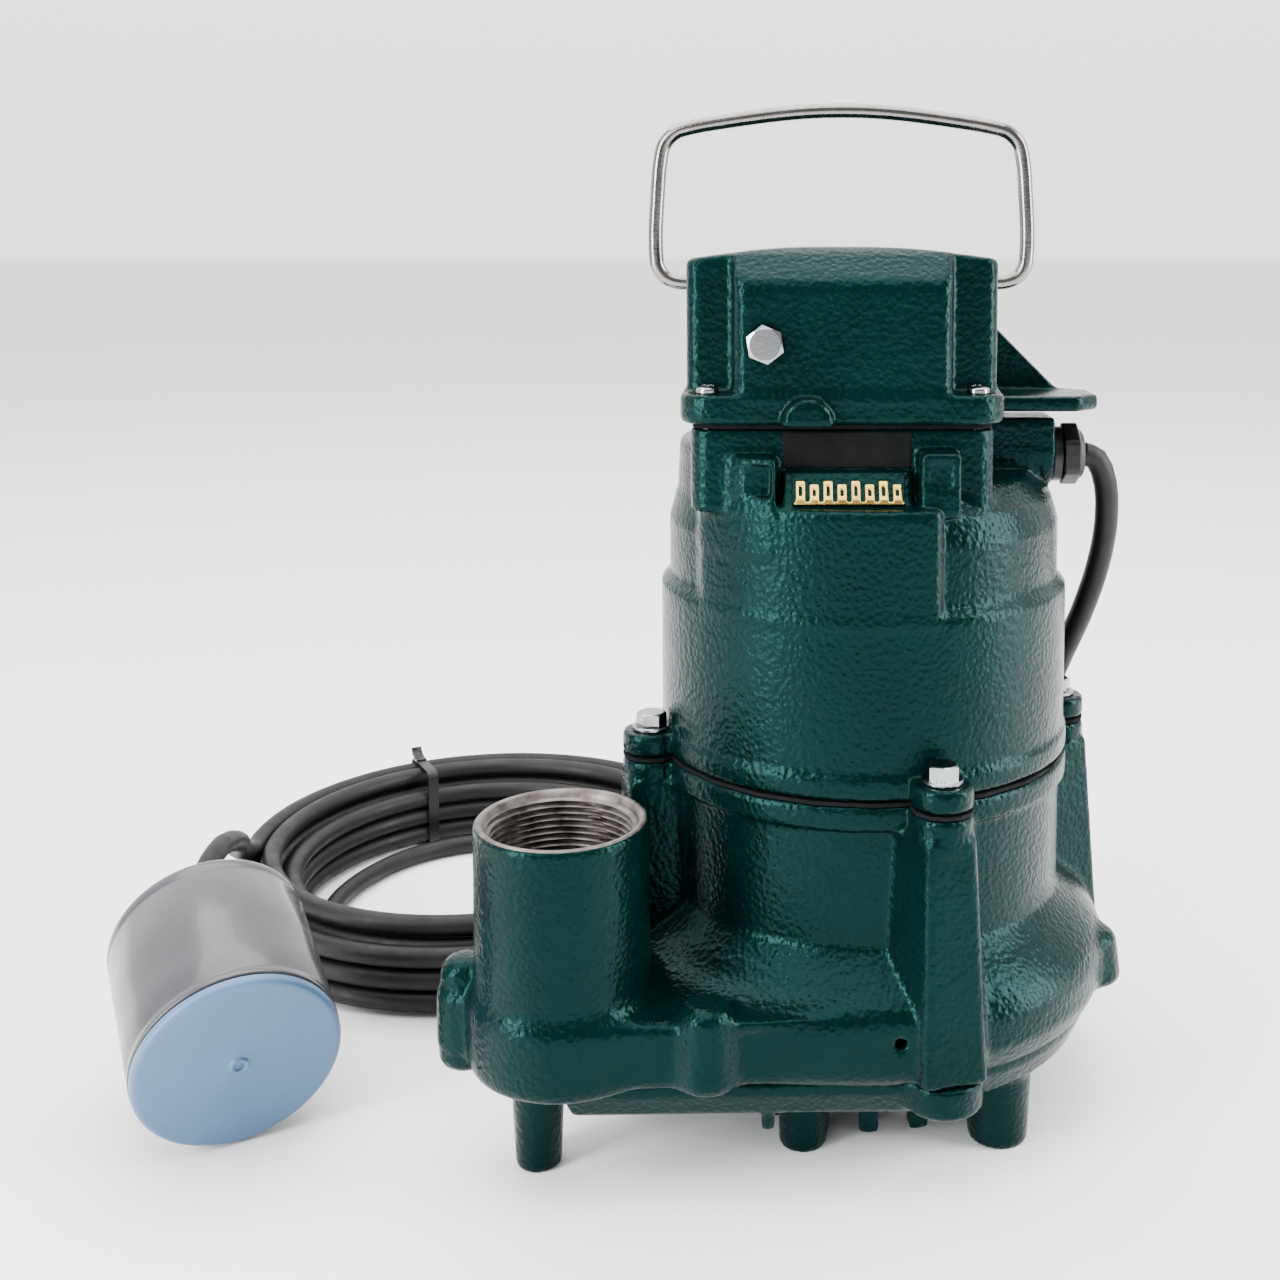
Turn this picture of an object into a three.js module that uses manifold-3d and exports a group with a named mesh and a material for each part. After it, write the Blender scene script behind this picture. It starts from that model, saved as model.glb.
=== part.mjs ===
// Submersible sump pump with a tethered float switch. Millimetres, +Z up.
//
// The pump stands on the floor plane z = 0 on its five legs. The motor axis is vertical and
// every dimension below is given from it. The outer group then moves the assembly so that the
// origin lies on the floor under the middle of the object, cords left out.
// +X points to the side with the cord gland, -Y to the side with the threaded discharge.

import * as THREE from 'three';
import { mergeVertices } from 'three/addons/utils/BufferGeometryUtils.js';
import Module from 'manifold-3d';

const wasm = await Module();
wasm.setup();

// ---------------------------------------------------------------- driving dimensions
const GAP = 0.3; // left between two pieces that touch
const MOTOR_AXIS = new THREE.Vector3(85.6, 2.95, 0); // from the origin

const BASE_UNDERSIDE_Z = 24;
const BASE_RIM_Z = 34;
const BASE_TOP_Z = 38.3;
const VOLUTE_R = 86;
const FRONT_WALL = { x: -98, y: -86.5, slope: 0.03 }; // flat wall of the volute's outlet side
const PUMP_WALL_R = 70.5;
const PUMP_TOP_Z = 122.6;
const CHAMBER_R = 60;
const WEB_Z = [70, 75];
const WEB_HOLE_R = 36;
const MOTOR_CHAMBER_R = 64;

const DISCHARGE = { x: -100, y: -67, r: 28, bore: 23.6, top: 117, relief: 22 };
const DISCHARGE_LUG = { x: -133, y: -62, r: 9, top: 69 };
const FRONT_BOSS = { x: -52.6, y: -86, r: [9.5, 8], top: 64 };
const SIDE_LUG = { angle: -13, at: 83.5, r: [10.5, 8], foot: 40, top: 59 };
const BOLT_ANGLES = [286, 16, 106, 196];
const BOLT_CIRCLE_R = 77.6;
const COLUMN_R = [10, 13]; // at the top and at the foot
const COLUMN_FOOT_R = 80; // where the feet stand, from the motor axis
const EAR_R = 10;

const MOTOR_GASKET_Z = [PUMP_TOP_Z + GAP, PUMP_TOP_Z + GAP + 1.2];
const MOTOR_FOOT_Z = MOTOR_GASKET_Z[1] + GAP;
const MOTOR_FLANGE_Z = 132;
const MOTOR_SHELL_R = 72;
const MOTOR_UPPER_R = 69;
const MOTOR_INSIDE_R = 63;
const MOTOR_DECK_Z = 241;

const CAP = { x: -9.5, halfX: 51, halfY: 57, panel: 35.3, notch: 11, flangeX: 52.9, flangeY: 57.5, wall: 6 };
const NECK = { halfX: 49.4, halfY: 54, corner: 7 }; // the neck of the motor housing under the cap
const CAP_GASKET_Z = [MOTOR_DECK_Z + GAP, MOTOR_DECK_Z + GAP + 1.2];
const CAP_FOOT_Z = CAP_GASKET_Z[1] + GAP;
const CAP_FLANGE_Z = 252.5;
const CAP_TOP_Z = 299;
const CAP_SCREW = { x: 43.8, y: 50, r: 2, hole: 2.4 };
const CAP_PLUG = { x: -25.1, z: 269 }; // from the middle of the cap

const HANDLE = { x: -8, z: 287, wireR: 2.6 };
const NAME_PLATE = { x0: -26, x1: 10, foot: [-65, 217], head: [-57, 228], thickness: 1 };
const GLAND_Z = 226;

const SHAFT_R = 7.2;
const SHAFT_END_R = 6;

const LEGS = [
  { x: -109, y: -65, top: 9, foot: 7.5 },
  { x: -22, y: -53, top: 8.5, foot: 8 },
  { x: 44, y: -49, top: 11.5, foot: 10 },
  { x: 32, y: 56, top: 10, foot: 9 },
  { x: -56, y: 33, top: 10, foot: 9 },
];
const STRAINER = { outer: 56.5, inner: 49.5, foot: 4, gaps: 20, gapWidth: 10.4, gapTop: 15 };
const INLET_R = 26;

const FLOAT = { x: -207, y: -65, r: 33.7, wall: 2.6, yaw: 29, tilt: 16.5 };
const FLOAT_PIVOT = 83.5; // from the front face, along the float's axis
const BALL = { r: 8, z: 14 };

const CORD_R = 4.25;
const CORD_PITCH = 8.7;
const COIL = { x: -163, y: 130, r: 101, columns: 3, foot: 1.4, rows: 2 };
const COIL_TIE_ANGLE = 120;
const PLUG = { length: 42, width: 25, height: 21 };

// ---------------------------------------------------------------- materials
function material(name, color, roughness, metalness) {
  return new THREE.MeshStandardMaterial({ name, color, roughness, metalness, flatShading: true });
}

const enamel = material('green_enamel', 0x084838, 0.35, 0.1);
const castIron = material('cast_iron', 0x4b4d4f, 0.7, 0.6);
const steel = material('bright_steel', 0xb9bcc0, 0.3, 0.9);
const stainless = material('stainless_wire', 0xc8c9cb, 0.25, 1.0);
const laminations = material('lamination_steel', 0x6f7378, 0.5, 0.8);
const copper = material('winding_copper', 0xa8562e, 0.45, 0.8);
const bronze = material('bearing_cage', 0xb08d4a, 0.4, 0.9);
const brass = material('name_plate', 0xc9a544, 0.35, 0.9);
const rubber = material('gasket_rubber', 0x161718, 0.8, 0.0);
const gland = material('gland_nylon', 0x1b1c1e, 0.5, 0.0);
const jacket = material('cord_jacket', 0x28282a, 0.6, 0.0);
const ceramic = material('seal_ceramic', 0xe2ddd2, 0.4, 0.0);
const thermoplastic = material('impeller_plastic', 0x30333a, 0.5, 0.0);
const floatShell = material('float_shell', 0xa5a5a8, 0.4, 0.0);
const floatEnd = material('float_end', 0x85a0ba, 0.5, 0.0);

// ---------------------------------------------------------------- solids
function signedVolume(position, triangles) {
  const [a, b, c] = [new THREE.Vector3(), new THREE.Vector3(), new THREE.Vector3()];
  let volume = 0;
  for (let i = 0; i < triangles.length; i += 3) {
    a.fromBufferAttribute(position, triangles[i]);
    b.fromBufferAttribute(position, triangles[i + 1]);
    c.fromBufferAttribute(position, triangles[i + 2]);
    volume += a.dot(b.cross(c)) / 6;
  }
  return volume;
}

function toSolid(geometry) {
  const bare = geometry.clone();
  bare.deleteAttribute('normal');
  bare.deleteAttribute('uv');
  const merged = mergeVertices(bare, 1e-4);
  const corners = merged.index.array;
  const triangles = [];
  for (let i = 0; i < corners.length; i += 3) {
    const [a, b, c] = [corners[i], corners[i + 1], corners[i + 2]];
    if (a !== b && b !== c && c !== a) triangles.push(a, b, c);
  }
  if (signedVolume(merged.attributes.position, triangles) < 0) triangles.reverse();
  return new wasm.Manifold(new wasm.Mesh({
    numProp: 3,
    vertProperties: Float32Array.from(merged.attributes.position.array),
    triVerts: Uint32Array.from(triangles),
  }));
}

function toGeometry(solid) {
  const mesh = solid.getMesh();
  const geometry = new THREE.BufferGeometry();
  geometry.setAttribute('position', new THREE.BufferAttribute(mesh.vertProperties, 3));
  geometry.setIndex(new THREE.BufferAttribute(mesh.triVerts, 1));
  return geometry;
}

function join(...geometries) {
  return toGeometry(geometries.map(toSolid).reduce((whole, next) => whole.add(next)));
}

function cut(geometry, ...tools) {
  return toGeometry(tools.map(toSolid).reduce((whole, tool) => whole.subtract(tool), toSolid(geometry)));
}

function common(geometry, other) {
  return toGeometry(toSolid(geometry).intersect(toSolid(other)));
}

// A profile of [radius, z] pairs turned about the Z axis; it closes on itself.
function turned(profile, segments = 20) {
  const closed = [...profile, profile[0]].map(([r, z]) => new THREE.Vector2(r, z));
  return new THREE.LatheGeometry(closed, segments).rotateX(Math.PI / 2);
}

function disc(r, z0, z1, segments = 18) {
  return turned([[0, z0], [r, z0], [r, z1], [0, z1]], segments);
}

function cone(r0, z0, r1, z1, segments = 12) {
  return turned([[0, z0], [r0, z0], [r1, z1], [0, z1]], segments);
}

function ring(inner, outer, z0, z1, segments = 20) {
  return turned([[inner, z0], [outer, z0], [outer, z1], [inner, z1]], segments);
}

function prism(points, z0, z1) {
  const shape = new THREE.Shape(points.map(([x, y]) => new THREE.Vector2(x, y)));
  return new THREE.ExtrudeGeometry(shape, { depth: z1 - z0, bevelEnabled: false }).translate(0, 0, z0);
}

function block(x0, x1, y0, y1, z0, z1) {
  return prism([[x0, y0], [x1, y0], [x1, y1], [x0, y1]], z0, z1);
}

function roundedBlock(halfX, halfY, radius, z0, z1) {
  const points = [];
  const steps = 3;
  for (let corner = 0; corner < 4; corner += 1) {
    const sx = corner === 0 || corner === 3 ? 1 : -1;
    const sy = corner < 2 ? 1 : -1;
    for (let step = 0; step <= steps; step += 1) {
      const angle = (corner + step / steps) * Math.PI / 2;
      const x = sx * (halfX - radius) + radius * Math.cos(angle);
      points.push([x, sy * (halfY - radius) + radius * Math.sin(angle)]);
    }
  }
  return prism(points, z0, z1);
}

// An outline in the YZ plane, given as [y, z] pairs, drawn out from x0 to x1.
function acrossX(points, x0, x1) {
  return prism(points, x0, x1).rotateX(Math.PI / 2).rotateZ(Math.PI / 2);
}

function circle(radius, sides) {
  const shape = new THREE.Shape();
  for (let i = 0; i < sides; i += 1) {
    const angle = i / sides * 2 * Math.PI;
    shape[i ? 'lineTo' : 'moveTo'](radius * Math.cos(angle), radius * Math.sin(angle));
  }
  return shape;
}

function tube(points, radius, steps, sides = 8) {
  const path = new THREE.CatmullRomCurve3(points.map((p) => new THREE.Vector3(...p)), false, 'centripetal');
  return new THREE.ExtrudeGeometry(circle(radius, sides), { steps, extrudePath: path });
}

function polar(radius, degrees) {
  const angle = THREE.MathUtils.degToRad(degrees);
  return [radius * Math.cos(angle), radius * Math.sin(angle)];
}

// Lays a shape made along +Z down along +X, its foot at x.
function alongX(geometry, x, y, z) {
  return geometry.rotateY(Math.PI / 2).translate(x, y, z);
}

const pump = new THREE.Group();

function piece(name, geometry, look, parent = pump) {
  const mesh = new THREE.Mesh(toGeometry(toSolid(geometry)), look);
  mesh.name = name;
  parent.add(mesh);
  return mesh;
}

// ---------------------------------------------------------------- shared outlines
function frontWallY(x) {
  return FRONT_WALL.y + FRONT_WALL.slope * (x - FRONT_WALL.x);
}

function columnFoot(degrees) {
  return polar(COLUMN_FOOT_R, degrees);
}

// Plan of the volute between two heights, smaller by inset all round.
function voluteSlab(inset, z0, z1, discR = VOLUTE_R - 4) {
  const frontCut = [[-95, frontWallY(-95) + inset], [30, frontWallY(30) + inset], [30, -130], [-95, -130]];
  const body = cut(disc(discR - inset, z0, z1, 28), prism(frontCut, z0 - 1, z1 + 1));
  const outlet = prism([
    [-50, -15], [-110, -44 - inset], [-98, frontWallY(-98) + inset], [26, frontWallY(26) + inset], [26, -15],
  ], z0, z1);
  const pipeFoot = disc(DISCHARGE.r + 0.8 - inset, z0, z1, 16).translate(DISCHARGE.x, DISCHARGE.y, 0);
  const lug = disc(DISCHARGE_LUG.r - inset / 2, z0, z1, 8).translate(DISCHARGE_LUG.x, DISCHARGE_LUG.y, 0);
  const lugArm = block(DISCHARGE_LUG.x, DISCHARGE.x, -69, -56, z0, z1);
  return join(body, outlet, pipeFoot, lug, lugArm);
}

function boltEars(radius, circleR, z0, z1) {
  return BOLT_ANGLES.map((a) => disc(radius, z0, z1, 12).translate(...polar(circleR, a), 0));
}

function boltHoles(radius, z0, z1) {
  return BOLT_ANGLES.map((a) => disc(radius, z0, z1, 8).translate(...polar(BOLT_CIRCLE_R, a), 0));
}

function baseScrewHoles(radius, z0, z1) {
  return BOLT_ANGLES.map((a) => disc(radius, z0, z1, 8).translate(...columnFoot(a), 0));
}

// ---------------------------------------------------------------- pump end
function basePlate() {
  const legs = LEGS.map((leg) => (
    cone(leg.foot, 0, leg.top, BASE_UNDERSIDE_Z + 2, 10).translate(leg.x, leg.y, 0)
  ));
  const strainer = ring(STRAINER.inner, STRAINER.outer, STRAINER.foot, BASE_UNDERSIDE_Z + 2, 24);
  const gaps = [];
  for (let i = 0; i < STRAINER.gaps; i += 1) {
    const half = STRAINER.gapWidth / 2;
    const gap = block(STRAINER.inner - 8, STRAINER.outer + 8, -half, half, 0, STRAINER.gapTop);
    gaps.push(gap.rotateZ((i + 0.5) / STRAINER.gaps * 2 * Math.PI));
  }
  const plate = join(
    voluteSlab(4, BASE_UNDERSIDE_Z, BASE_RIM_Z + 1),
    voluteSlab(0, BASE_RIM_Z, BASE_TOP_Z),
    ...boltEars(COLUMN_R[1], COLUMN_FOOT_R, 28, BASE_TOP_Z),
    cut(strainer, ...gaps),
    ...legs,
  );
  return cut(plate,
    disc(INLET_R, 0, BASE_TOP_Z + 1, 16),
    ...baseScrewHoles(2.9, 20, BASE_TOP_Z + 1),
    ...baseScrewHoles(5.6, 20, 28));
}

function pumpHousing() {
  const foot = BASE_TOP_Z + GAP;
  const frontCut = prism([[-95, frontWallY(-95)], [30, frontWallY(30)], [30, -130], [-95, -130]], 30, 75);
  const shell = cut(turned([
    [0, foot], [80, foot], [VOLUTE_R, 46], [VOLUTE_R, 54], [78, 67], [PUMP_WALL_R, 75],
    [PUMP_WALL_R, PUMP_TOP_Z], [0, PUMP_TOP_Z],
  ], 28), frontCut);
  const pipe = cone(DISCHARGE.r + 0.8, foot, DISCHARGE.r, DISCHARGE.top, 20)
    .translate(DISCHARGE.x, DISCHARGE.y, 0);
  const lug = join(
    cone(DISCHARGE_LUG.r, foot, DISCHARGE_LUG.r - 1, DISCHARGE_LUG.top - 4, 8),
    cone(DISCHARGE_LUG.r - 1, DISCHARGE_LUG.top - 4, 4, DISCHARGE_LUG.top, 8),
  ).translate(DISCHARGE_LUG.x, DISCHARGE_LUG.y, 0);
  const frontBoss = cone(FRONT_BOSS.r[0], foot, FRONT_BOSS.r[1], FRONT_BOSS.top, 10)
    .translate(FRONT_BOSS.x, FRONT_BOSS.y, 0);
  const sideLug = cone(SIDE_LUG.r[0], SIDE_LUG.foot, SIDE_LUG.r[1], SIDE_LUG.top, 10)
    .translate(...polar(SIDE_LUG.at, SIDE_LUG.angle), 0);
  const lugWeb = block(DISCHARGE_LUG.x + 2, DISCHARGE.x - 20, -67, -57, foot, 62);
  const columnR = (BOLT_CIRCLE_R + COLUMN_FOOT_R) / 2;
  const columns = BOLT_ANGLES.map((a) => (
    cone(COLUMN_R[1], foot, COLUMN_R[0], PUMP_TOP_Z, 8).translate(...polar(columnR, a), 0)
  ));
  const rim = ring(MOTOR_CHAMBER_R + 2, 73, PUMP_TOP_Z - 8, PUMP_TOP_Z, 28);
  const outside = join(shell, voluteSlab(0, foot, 60), pipe, lug, lugWeb, frontBoss, sideLug, rim, ...columns,
    ...boltEars(EAR_R, BOLT_CIRCLE_R, PUMP_TOP_Z - 10, PUMP_TOP_Z));
  const channel = prism([[-95, -79], [-10, -64], [-10, -30], [-50, -30], [-105, -52]], 44, 57);
  return cut(outside,
    disc(MOTOR_CHAMBER_R, WEB_Z[1], PUMP_TOP_Z + 1, 24),
    disc(WEB_HOLE_R, WEB_Z[0] - 1, WEB_Z[1] + 1, 24),
    disc(CHAMBER_R, foot - 1, WEB_Z[0], 16),
    channel,
    disc(DISCHARGE.relief, 44, 90, 16).translate(DISCHARGE.x, DISCHARGE.y, 0),
    disc(DISCHARGE.bore, 89, DISCHARGE.top + 1, 20).translate(DISCHARGE.x, DISCHARGE.y, 0),
    disc(1.8, 0, 20, 8).rotateX(Math.PI / 2).translate(8, -58, 52),
    ...boltHoles(3.4, 100, PUMP_TOP_Z + 1),
    ...baseScrewHoles(2.9, foot - 1, 54));
}

piece('base_plate', basePlate(), enamel);
piece('pump_housing', pumpHousing(), enamel);

BOLT_ANGLES.forEach((angle, i) => {
  const screw = turned([[0, 23.3], [4.4, 23.8], [5, 27.7], [2.5, 27.7], [2.5, 52], [0, 52]], 8);
  piece(`base_screw_${i + 1}`, screw.translate(...columnFoot(angle), 0), steel);
});

function impeller() {
  const hubTop = 60;
  const body = turned([
    [0, 44], [11, 44], [11, 53.5], [49, 54.5], [50, 57], [11, 58], [10, hubTop], [0, hubTop],
  ], 20);
  const vanes = [];
  for (let i = 0; i < 6; i += 1) {
    const blade = new THREE.Shape([
      new THREE.Vector2(9, -1.5), new THREE.Vector2(30, -6), new THREE.Vector2(48, -16),
      new THREE.Vector2(49, -12.8), new THREE.Vector2(31, -2.6), new THREE.Vector2(9, 1.5),
    ]);
    const vane = new THREE.ExtrudeGeometry(blade, { depth: 11, bevelEnabled: false });
    vanes.push(vane.translate(0, 0, 44.5).rotateZ(i / 6 * 2 * Math.PI));
  }
  return cut(join(body, ...vanes), disc(SHAFT_END_R + GAP, 40, hubTop + 1, 12));
}

piece('impeller', impeller(), thermoplastic);
piece('impeller_nut', cut(disc(9, 39.7, 44 - GAP, 6), disc(SHAFT_END_R + GAP, 38, 45, 12)), steel);

// ---------------------------------------------------------------- seal and bearings
function sealPlate() {
  const body = turned([
    [14.4, 66], [35.6, 66], [35.6, 75.4], [63.4, 75.4], [63.4, 80.5], [30, 80.5], [23, 84], [23, 95],
    [17.8, 95], [17.8, 82.5], [10, 82.5], [10, 73.6], [14.4, 73.6],
  ], 20);
  return body;
}

piece('seal_plate', sealPlate(), castIron);
piece('seal_seat', ring(8.5, 14, 67.8, 73.2, 14), ceramic);
piece('seal_head', ring(SHAFT_END_R + GAP, 11.5, 64.6, 67.4, 14), rubber);

function sealSpring() {
  class Helix extends THREE.Curve {
    getPoint(t, target = new THREE.Vector3()) {
      const angle = t * 2.5 * 2 * Math.PI;
      return target.set(8.8 * Math.cos(angle), 8.8 * Math.sin(angle), 61 + 2.9 * t);
    }
  }
  return new THREE.ExtrudeGeometry(circle(0.5, 5), { steps: 30, extrudePath: new Helix() });
}

piece('seal_spring', sealSpring(), stainless);

function bearing(prefix, bore, inner, outer, seat, z0, z1) {
  const middle = (z0 + z1) / 2;
  const pitchR = (inner + outer) / 2;
  const ballR = (outer - inner) / 2 - 0.7;
  piece(`${prefix}_inner_race`, ring(bore, inner - 0.3, z0, z1, 20), steel);
  piece(`${prefix}_outer_race`, ring(outer + 0.3, seat, z0, z1, 20), steel);
  const balls = [];
  for (let i = 0; i < 7; i += 1) {
    const ball = new THREE.SphereGeometry(ballR, 6, 3).rotateX(Math.PI / 2);
    balls.push(ball.translate(...polar(pitchR, i / 7 * 360), middle));
  }
  const cage = ring(pitchR - 0.7, pitchR + 0.7, middle - 1.6, middle + 1.6, 14);
  piece(`${prefix}_cage`, join(cage, ...balls), bronze);
}

bearing('lower_bearing', SHAFT_R + GAP, 10.4, 14.6, 17.5, 82.8, 92.8);
bearing('upper_bearing', SHAFT_END_R + GAP, 9, 13, 15.8, 211.5, 220.5);

// ---------------------------------------------------------------- motor
piece('shaft', turned([
  [0, 39.2], [SHAFT_END_R, 39.2], [SHAFT_END_R, 80], [SHAFT_R, 80], [SHAFT_R, 210.5], [SHAFT_END_R, 210.5],
  [SHAFT_END_R, 221.2], [0, 221.2],
], 14), steel);
piece('rotor_core', ring(SHAFT_R + GAP, 37, 122, 192, 20), laminations);

function statorCore() {
  const core = ring(37.8, 62.4, 127, 188, 24);
  const slots = [];
  for (let i = 0; i < 12; i += 1) {
    slots.push(block(44, 54, -2.5, 2.5, 120, 195).rotateZ(i / 12 * 2 * Math.PI));
  }
  return cut(core, ...slots);
}

piece('stator_core', statorCore(), laminations);

function windingEnd(z0, z1) {
  const corner = 4;
  return turned([
    [43, z0 + corner], [46, z0], [54, z0], [57, z0 + corner],
    [57, z1 - corner], [54, z1], [46, z1], [43, z1 - corner],
  ], 16);
}

piece('lower_winding', windingEnd(103, 127 - GAP), copper);
piece('upper_winding', windingEnd(188 + GAP, 208), copper);
piece('thermal_protector', block(-9, 9, 40, 50, 208 + GAP, 213), gland);

function housingBand(inner, z0, z1) {
  return cut(
    join(ring(inner, 73, z0, z1, 24), ...boltEars(EAR_R, BOLT_CIRCLE_R, z0, z1)),
    disc(inner, z0 - 1, z1 + 1, 24),
    ...boltHoles(3.4, z0 - 1, z1 + 1),
  );
}

piece('motor_gasket', housingBand(MOTOR_CHAMBER_R, ...MOTOR_GASKET_Z), rubber);

function capScrewPlaces() {
  return [-1, 1].flatMap((sx) => [-1, 1].map((sy) => [CAP.x + sx * CAP_SCREW.x, sy * CAP_SCREW.y]));
}

function motorHousing() {
  const shell = turned([
    [0, MOTOR_FOOT_Z], [73, MOTOR_FOOT_Z], [73, MOTOR_FLANGE_Z - 1], [MOTOR_SHELL_R, MOTOR_FLANGE_Z],
    [MOTOR_SHELL_R, 182], [MOTOR_UPPER_R, 185], [MOTOR_UPPER_R, 206], [66, 215], [58, 221.5], [0, 222],
  ], 28);
  const pad = common(disc(MOTOR_SHELL_R, 180, 234, 28), join(
    block(-57, 21.6, -80, -30, 180, 217),
    block(-57, -31, -80, -30, 216, 233),
  ));
  const shoulder = common(disc(66, 198, 233, 28), block(-72, -31, -80, 22, 198, 233));
  const neck = roundedBlock(NECK.halfX, NECK.halfY, NECK.corner, 214, MOTOR_DECK_Z).translate(CAP.x, 0, 0);
  const lug = block(14.5, 26.5, -66, -46, 216, 235);
  const seat = [[-65, 216.5], NAME_PLATE.foot, NAME_PLATE.head, [-50, 228], [-50, 216.5]];
  const plateSeat = acrossX(seat, NAME_PLATE.x0 - 2, NAME_PLATE.x1 + 2);
  const glandBoss = join(
    alongX(disc(11, 0, 31, 14), 36, 0, GLAND_Z),
    block(37, 67, -11, 11, GLAND_Z, 240),
  );
  const body = join(shell, pad, shoulder, neck, lug, plateSeat, glandBoss,
    ...boltEars(EAR_R, BOLT_CIRCLE_R, MOTOR_FOOT_Z, MOTOR_FLANGE_Z));
  const bearingBoss = turned([[0, 207], [21, 207], [23, 216], [0, 216]], 16);
  const cavity = cut(turned([
    [0, MOTOR_FOOT_Z - 1], [MOTOR_INSIDE_R, MOTOR_FOOT_Z - 1], [MOTOR_INSIDE_R, 204], [58, 212], [52, 214.5],
    [0, 214.5],
  ], 24), bearingBoss);
  return cut(body,
    cavity,
    disc(16.1, 206, 222.3, 20),
    block(20, 28, -32, 32, 217.5, MOTOR_DECK_Z + 1),
    disc(5, 210, 220, 8).translate(26, 18, 0),
    alongX(disc(7.9, 0, 43, 14), 27, 0, GLAND_Z),
    ...capScrewPlaces().map(([x, y]) => disc(CAP_SCREW.hole, 228, MOTOR_DECK_Z + 1, 8).translate(x, y, 0)),
    ...boltHoles(3.4, MOTOR_FOOT_Z - 1, MOTOR_FLANGE_Z + 1));
}

piece('motor_housing', motorHousing(), enamel);

BOLT_ANGLES.forEach((angle, i) => {
  const head = disc(5.2, MOTOR_FLANGE_Z + GAP, 137, 6);
  const shank = disc(3, 101, MOTOR_FLANGE_Z + 1, 8);
  piece(`housing_bolt_${i + 1}`, join(head, shank).translate(...polar(BOLT_CIRCLE_R, angle), 0), steel);
});

// A blank plate that leans on its sloping seat, a gap away from it.
function namePlate() {
  const foot = new THREE.Vector2(...NAME_PLATE.foot);
  const slope = new THREE.Vector2(...NAME_PLATE.head).sub(foot);
  const length = slope.length();
  slope.normalize();
  const outward = new THREE.Vector2(-slope.y, slope.x);
  const corner = (along, out) => (
    foot.clone().addScaledVector(slope, along).addScaledVector(outward, out).toArray()
  );
  const [near, far] = [1.2, length - 1];
  const [under, top] = [GAP, GAP + NAME_PLATE.thickness];
  const outline = [corner(near, under), corner(far, under), corner(far, top), corner(near, top)];
  return acrossX(outline, NAME_PLATE.x0, NAME_PLATE.x1);
}

piece('name_plate', namePlate(), brass);

// ---------------------------------------------------------------- junction cap
piece('cap_gasket', cut(
  roundedBlock(NECK.halfX - 0.5, NECK.halfY - 0.5, NECK.corner, ...CAP_GASKET_Z).translate(CAP.x, 0, 0),
  roundedBlock(38.5, 40, 5, CAP_GASKET_Z[0] - 1, CAP_GASKET_Z[1] + 1).translate(CAP.x, 0, 0),
  ...capScrewPlaces().map(([x, y]) => (
    disc(CAP_SCREW.hole, CAP_GASKET_Z[0] - 1, CAP_GASKET_Z[1] + 1, 8).translate(x, y, 0)
  )),
), rubber);

// The cap is made about its own middle and then moved to stand on the deck.
function topCap() {
  const flange = roundedBlock(CAP.flangeX, CAP.flangeY, 12, CAP_FOOT_Z, CAP_FLANGE_Z);
  const across = roundedBlock(CAP.halfX, CAP.halfY - CAP.notch, 5, CAP_FLANGE_Z - 1, CAP_TOP_Z);
  const along = roundedBlock(CAP.panel, CAP.halfY, 5, CAP_FLANGE_Z - 1, CAP_TOP_Z);
  const slopeToFront = acrossX([
    [-59, 240], [59, 240], [59, 286], [45.5, CAP_TOP_Z], [-45.5, CAP_TOP_Z], [-59, 286],
  ], -60, 60);
  const slopeToSides = prism([
    [-53, 240], [53, 240], [53, 295.5], [28, CAP_TOP_Z], [-28, CAP_TOP_Z], [-53, 295.5],
  ], -60, 60).rotateX(Math.PI / 2);
  const box = common(common(join(across, along), slopeToFront), slopeToSides);
  const boss = disc(8.3, CAP_FOOT_Z, 249, 14).translate(-11.5, -CAP.flangeY + 3, 0);
  const shelf = prism([[40, -17], [84, -17], [91.5, -9], [91.5, 9], [84, 17], [40, 17]], CAP_FOOT_Z, 248);
  const gusset = prism([[47, 246], [84.5, 246], [50, 278]], -13, -8).rotateX(Math.PI / 2);
  const roof = CAP_TOP_Z - CAP.wall;
  const inside = [
    roundedBlock(CAP.halfX - CAP.wall, CAP.halfY - CAP.notch - CAP.wall, 3, CAP_FOOT_Z - 1, roof),
    roundedBlock(CAP.panel - CAP.wall, CAP.halfY - 9, 3, CAP_FOOT_Z - 1, roof),
  ];
  const handleHoles = [-70, 42].map((x) => alongX(disc(HANDLE.wireR + 0.5, 0, 28, 12), x, 0, HANDLE.z));
  const plugHole = disc(4.8, 0, 20, 12).rotateX(Math.PI / 2).translate(CAP_PLUG.x, -42, CAP_PLUG.z);
  return cut(join(flange, box, boss, shelf, gusset), ...inside, ...handleHoles, plugHole,
    ...capScrewPlaces().map(([x, y]) => (
      disc(CAP_SCREW.hole, CAP_FOOT_Z - 1, CAP_FLANGE_Z + 1, 8).translate(x - CAP.x, y, 0)
    ))).translate(CAP.x, 0, 0);
}

piece('top_cap', topCap(), enamel);

capScrewPlaces().forEach(([x, y], i) => {
  const screw = turned([
    [0, 229], [CAP_SCREW.r, 229], [CAP_SCREW.r, CAP_FLANGE_Z + GAP], [3.5, CAP_FLANGE_Z + GAP],
    [3.4, CAP_FLANGE_Z + 1.8], [2, CAP_FLANGE_Z + 2.8], [0, CAP_FLANGE_Z + 2.8],
  ], 12);
  piece(`cap_screw_${i + 1}`, screw.translate(x, y, 0), steel);
});

piece('hex_plug', join(disc(4.4, -8, 1, 12), disc(6.35, 0, 5, 6).rotateZ(Math.PI / 6))
  .rotateX(Math.PI / 2).translate(CAP.x + CAP_PLUG.x, -CAP.halfY - GAP, CAP_PLUG.z), steel);

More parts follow.
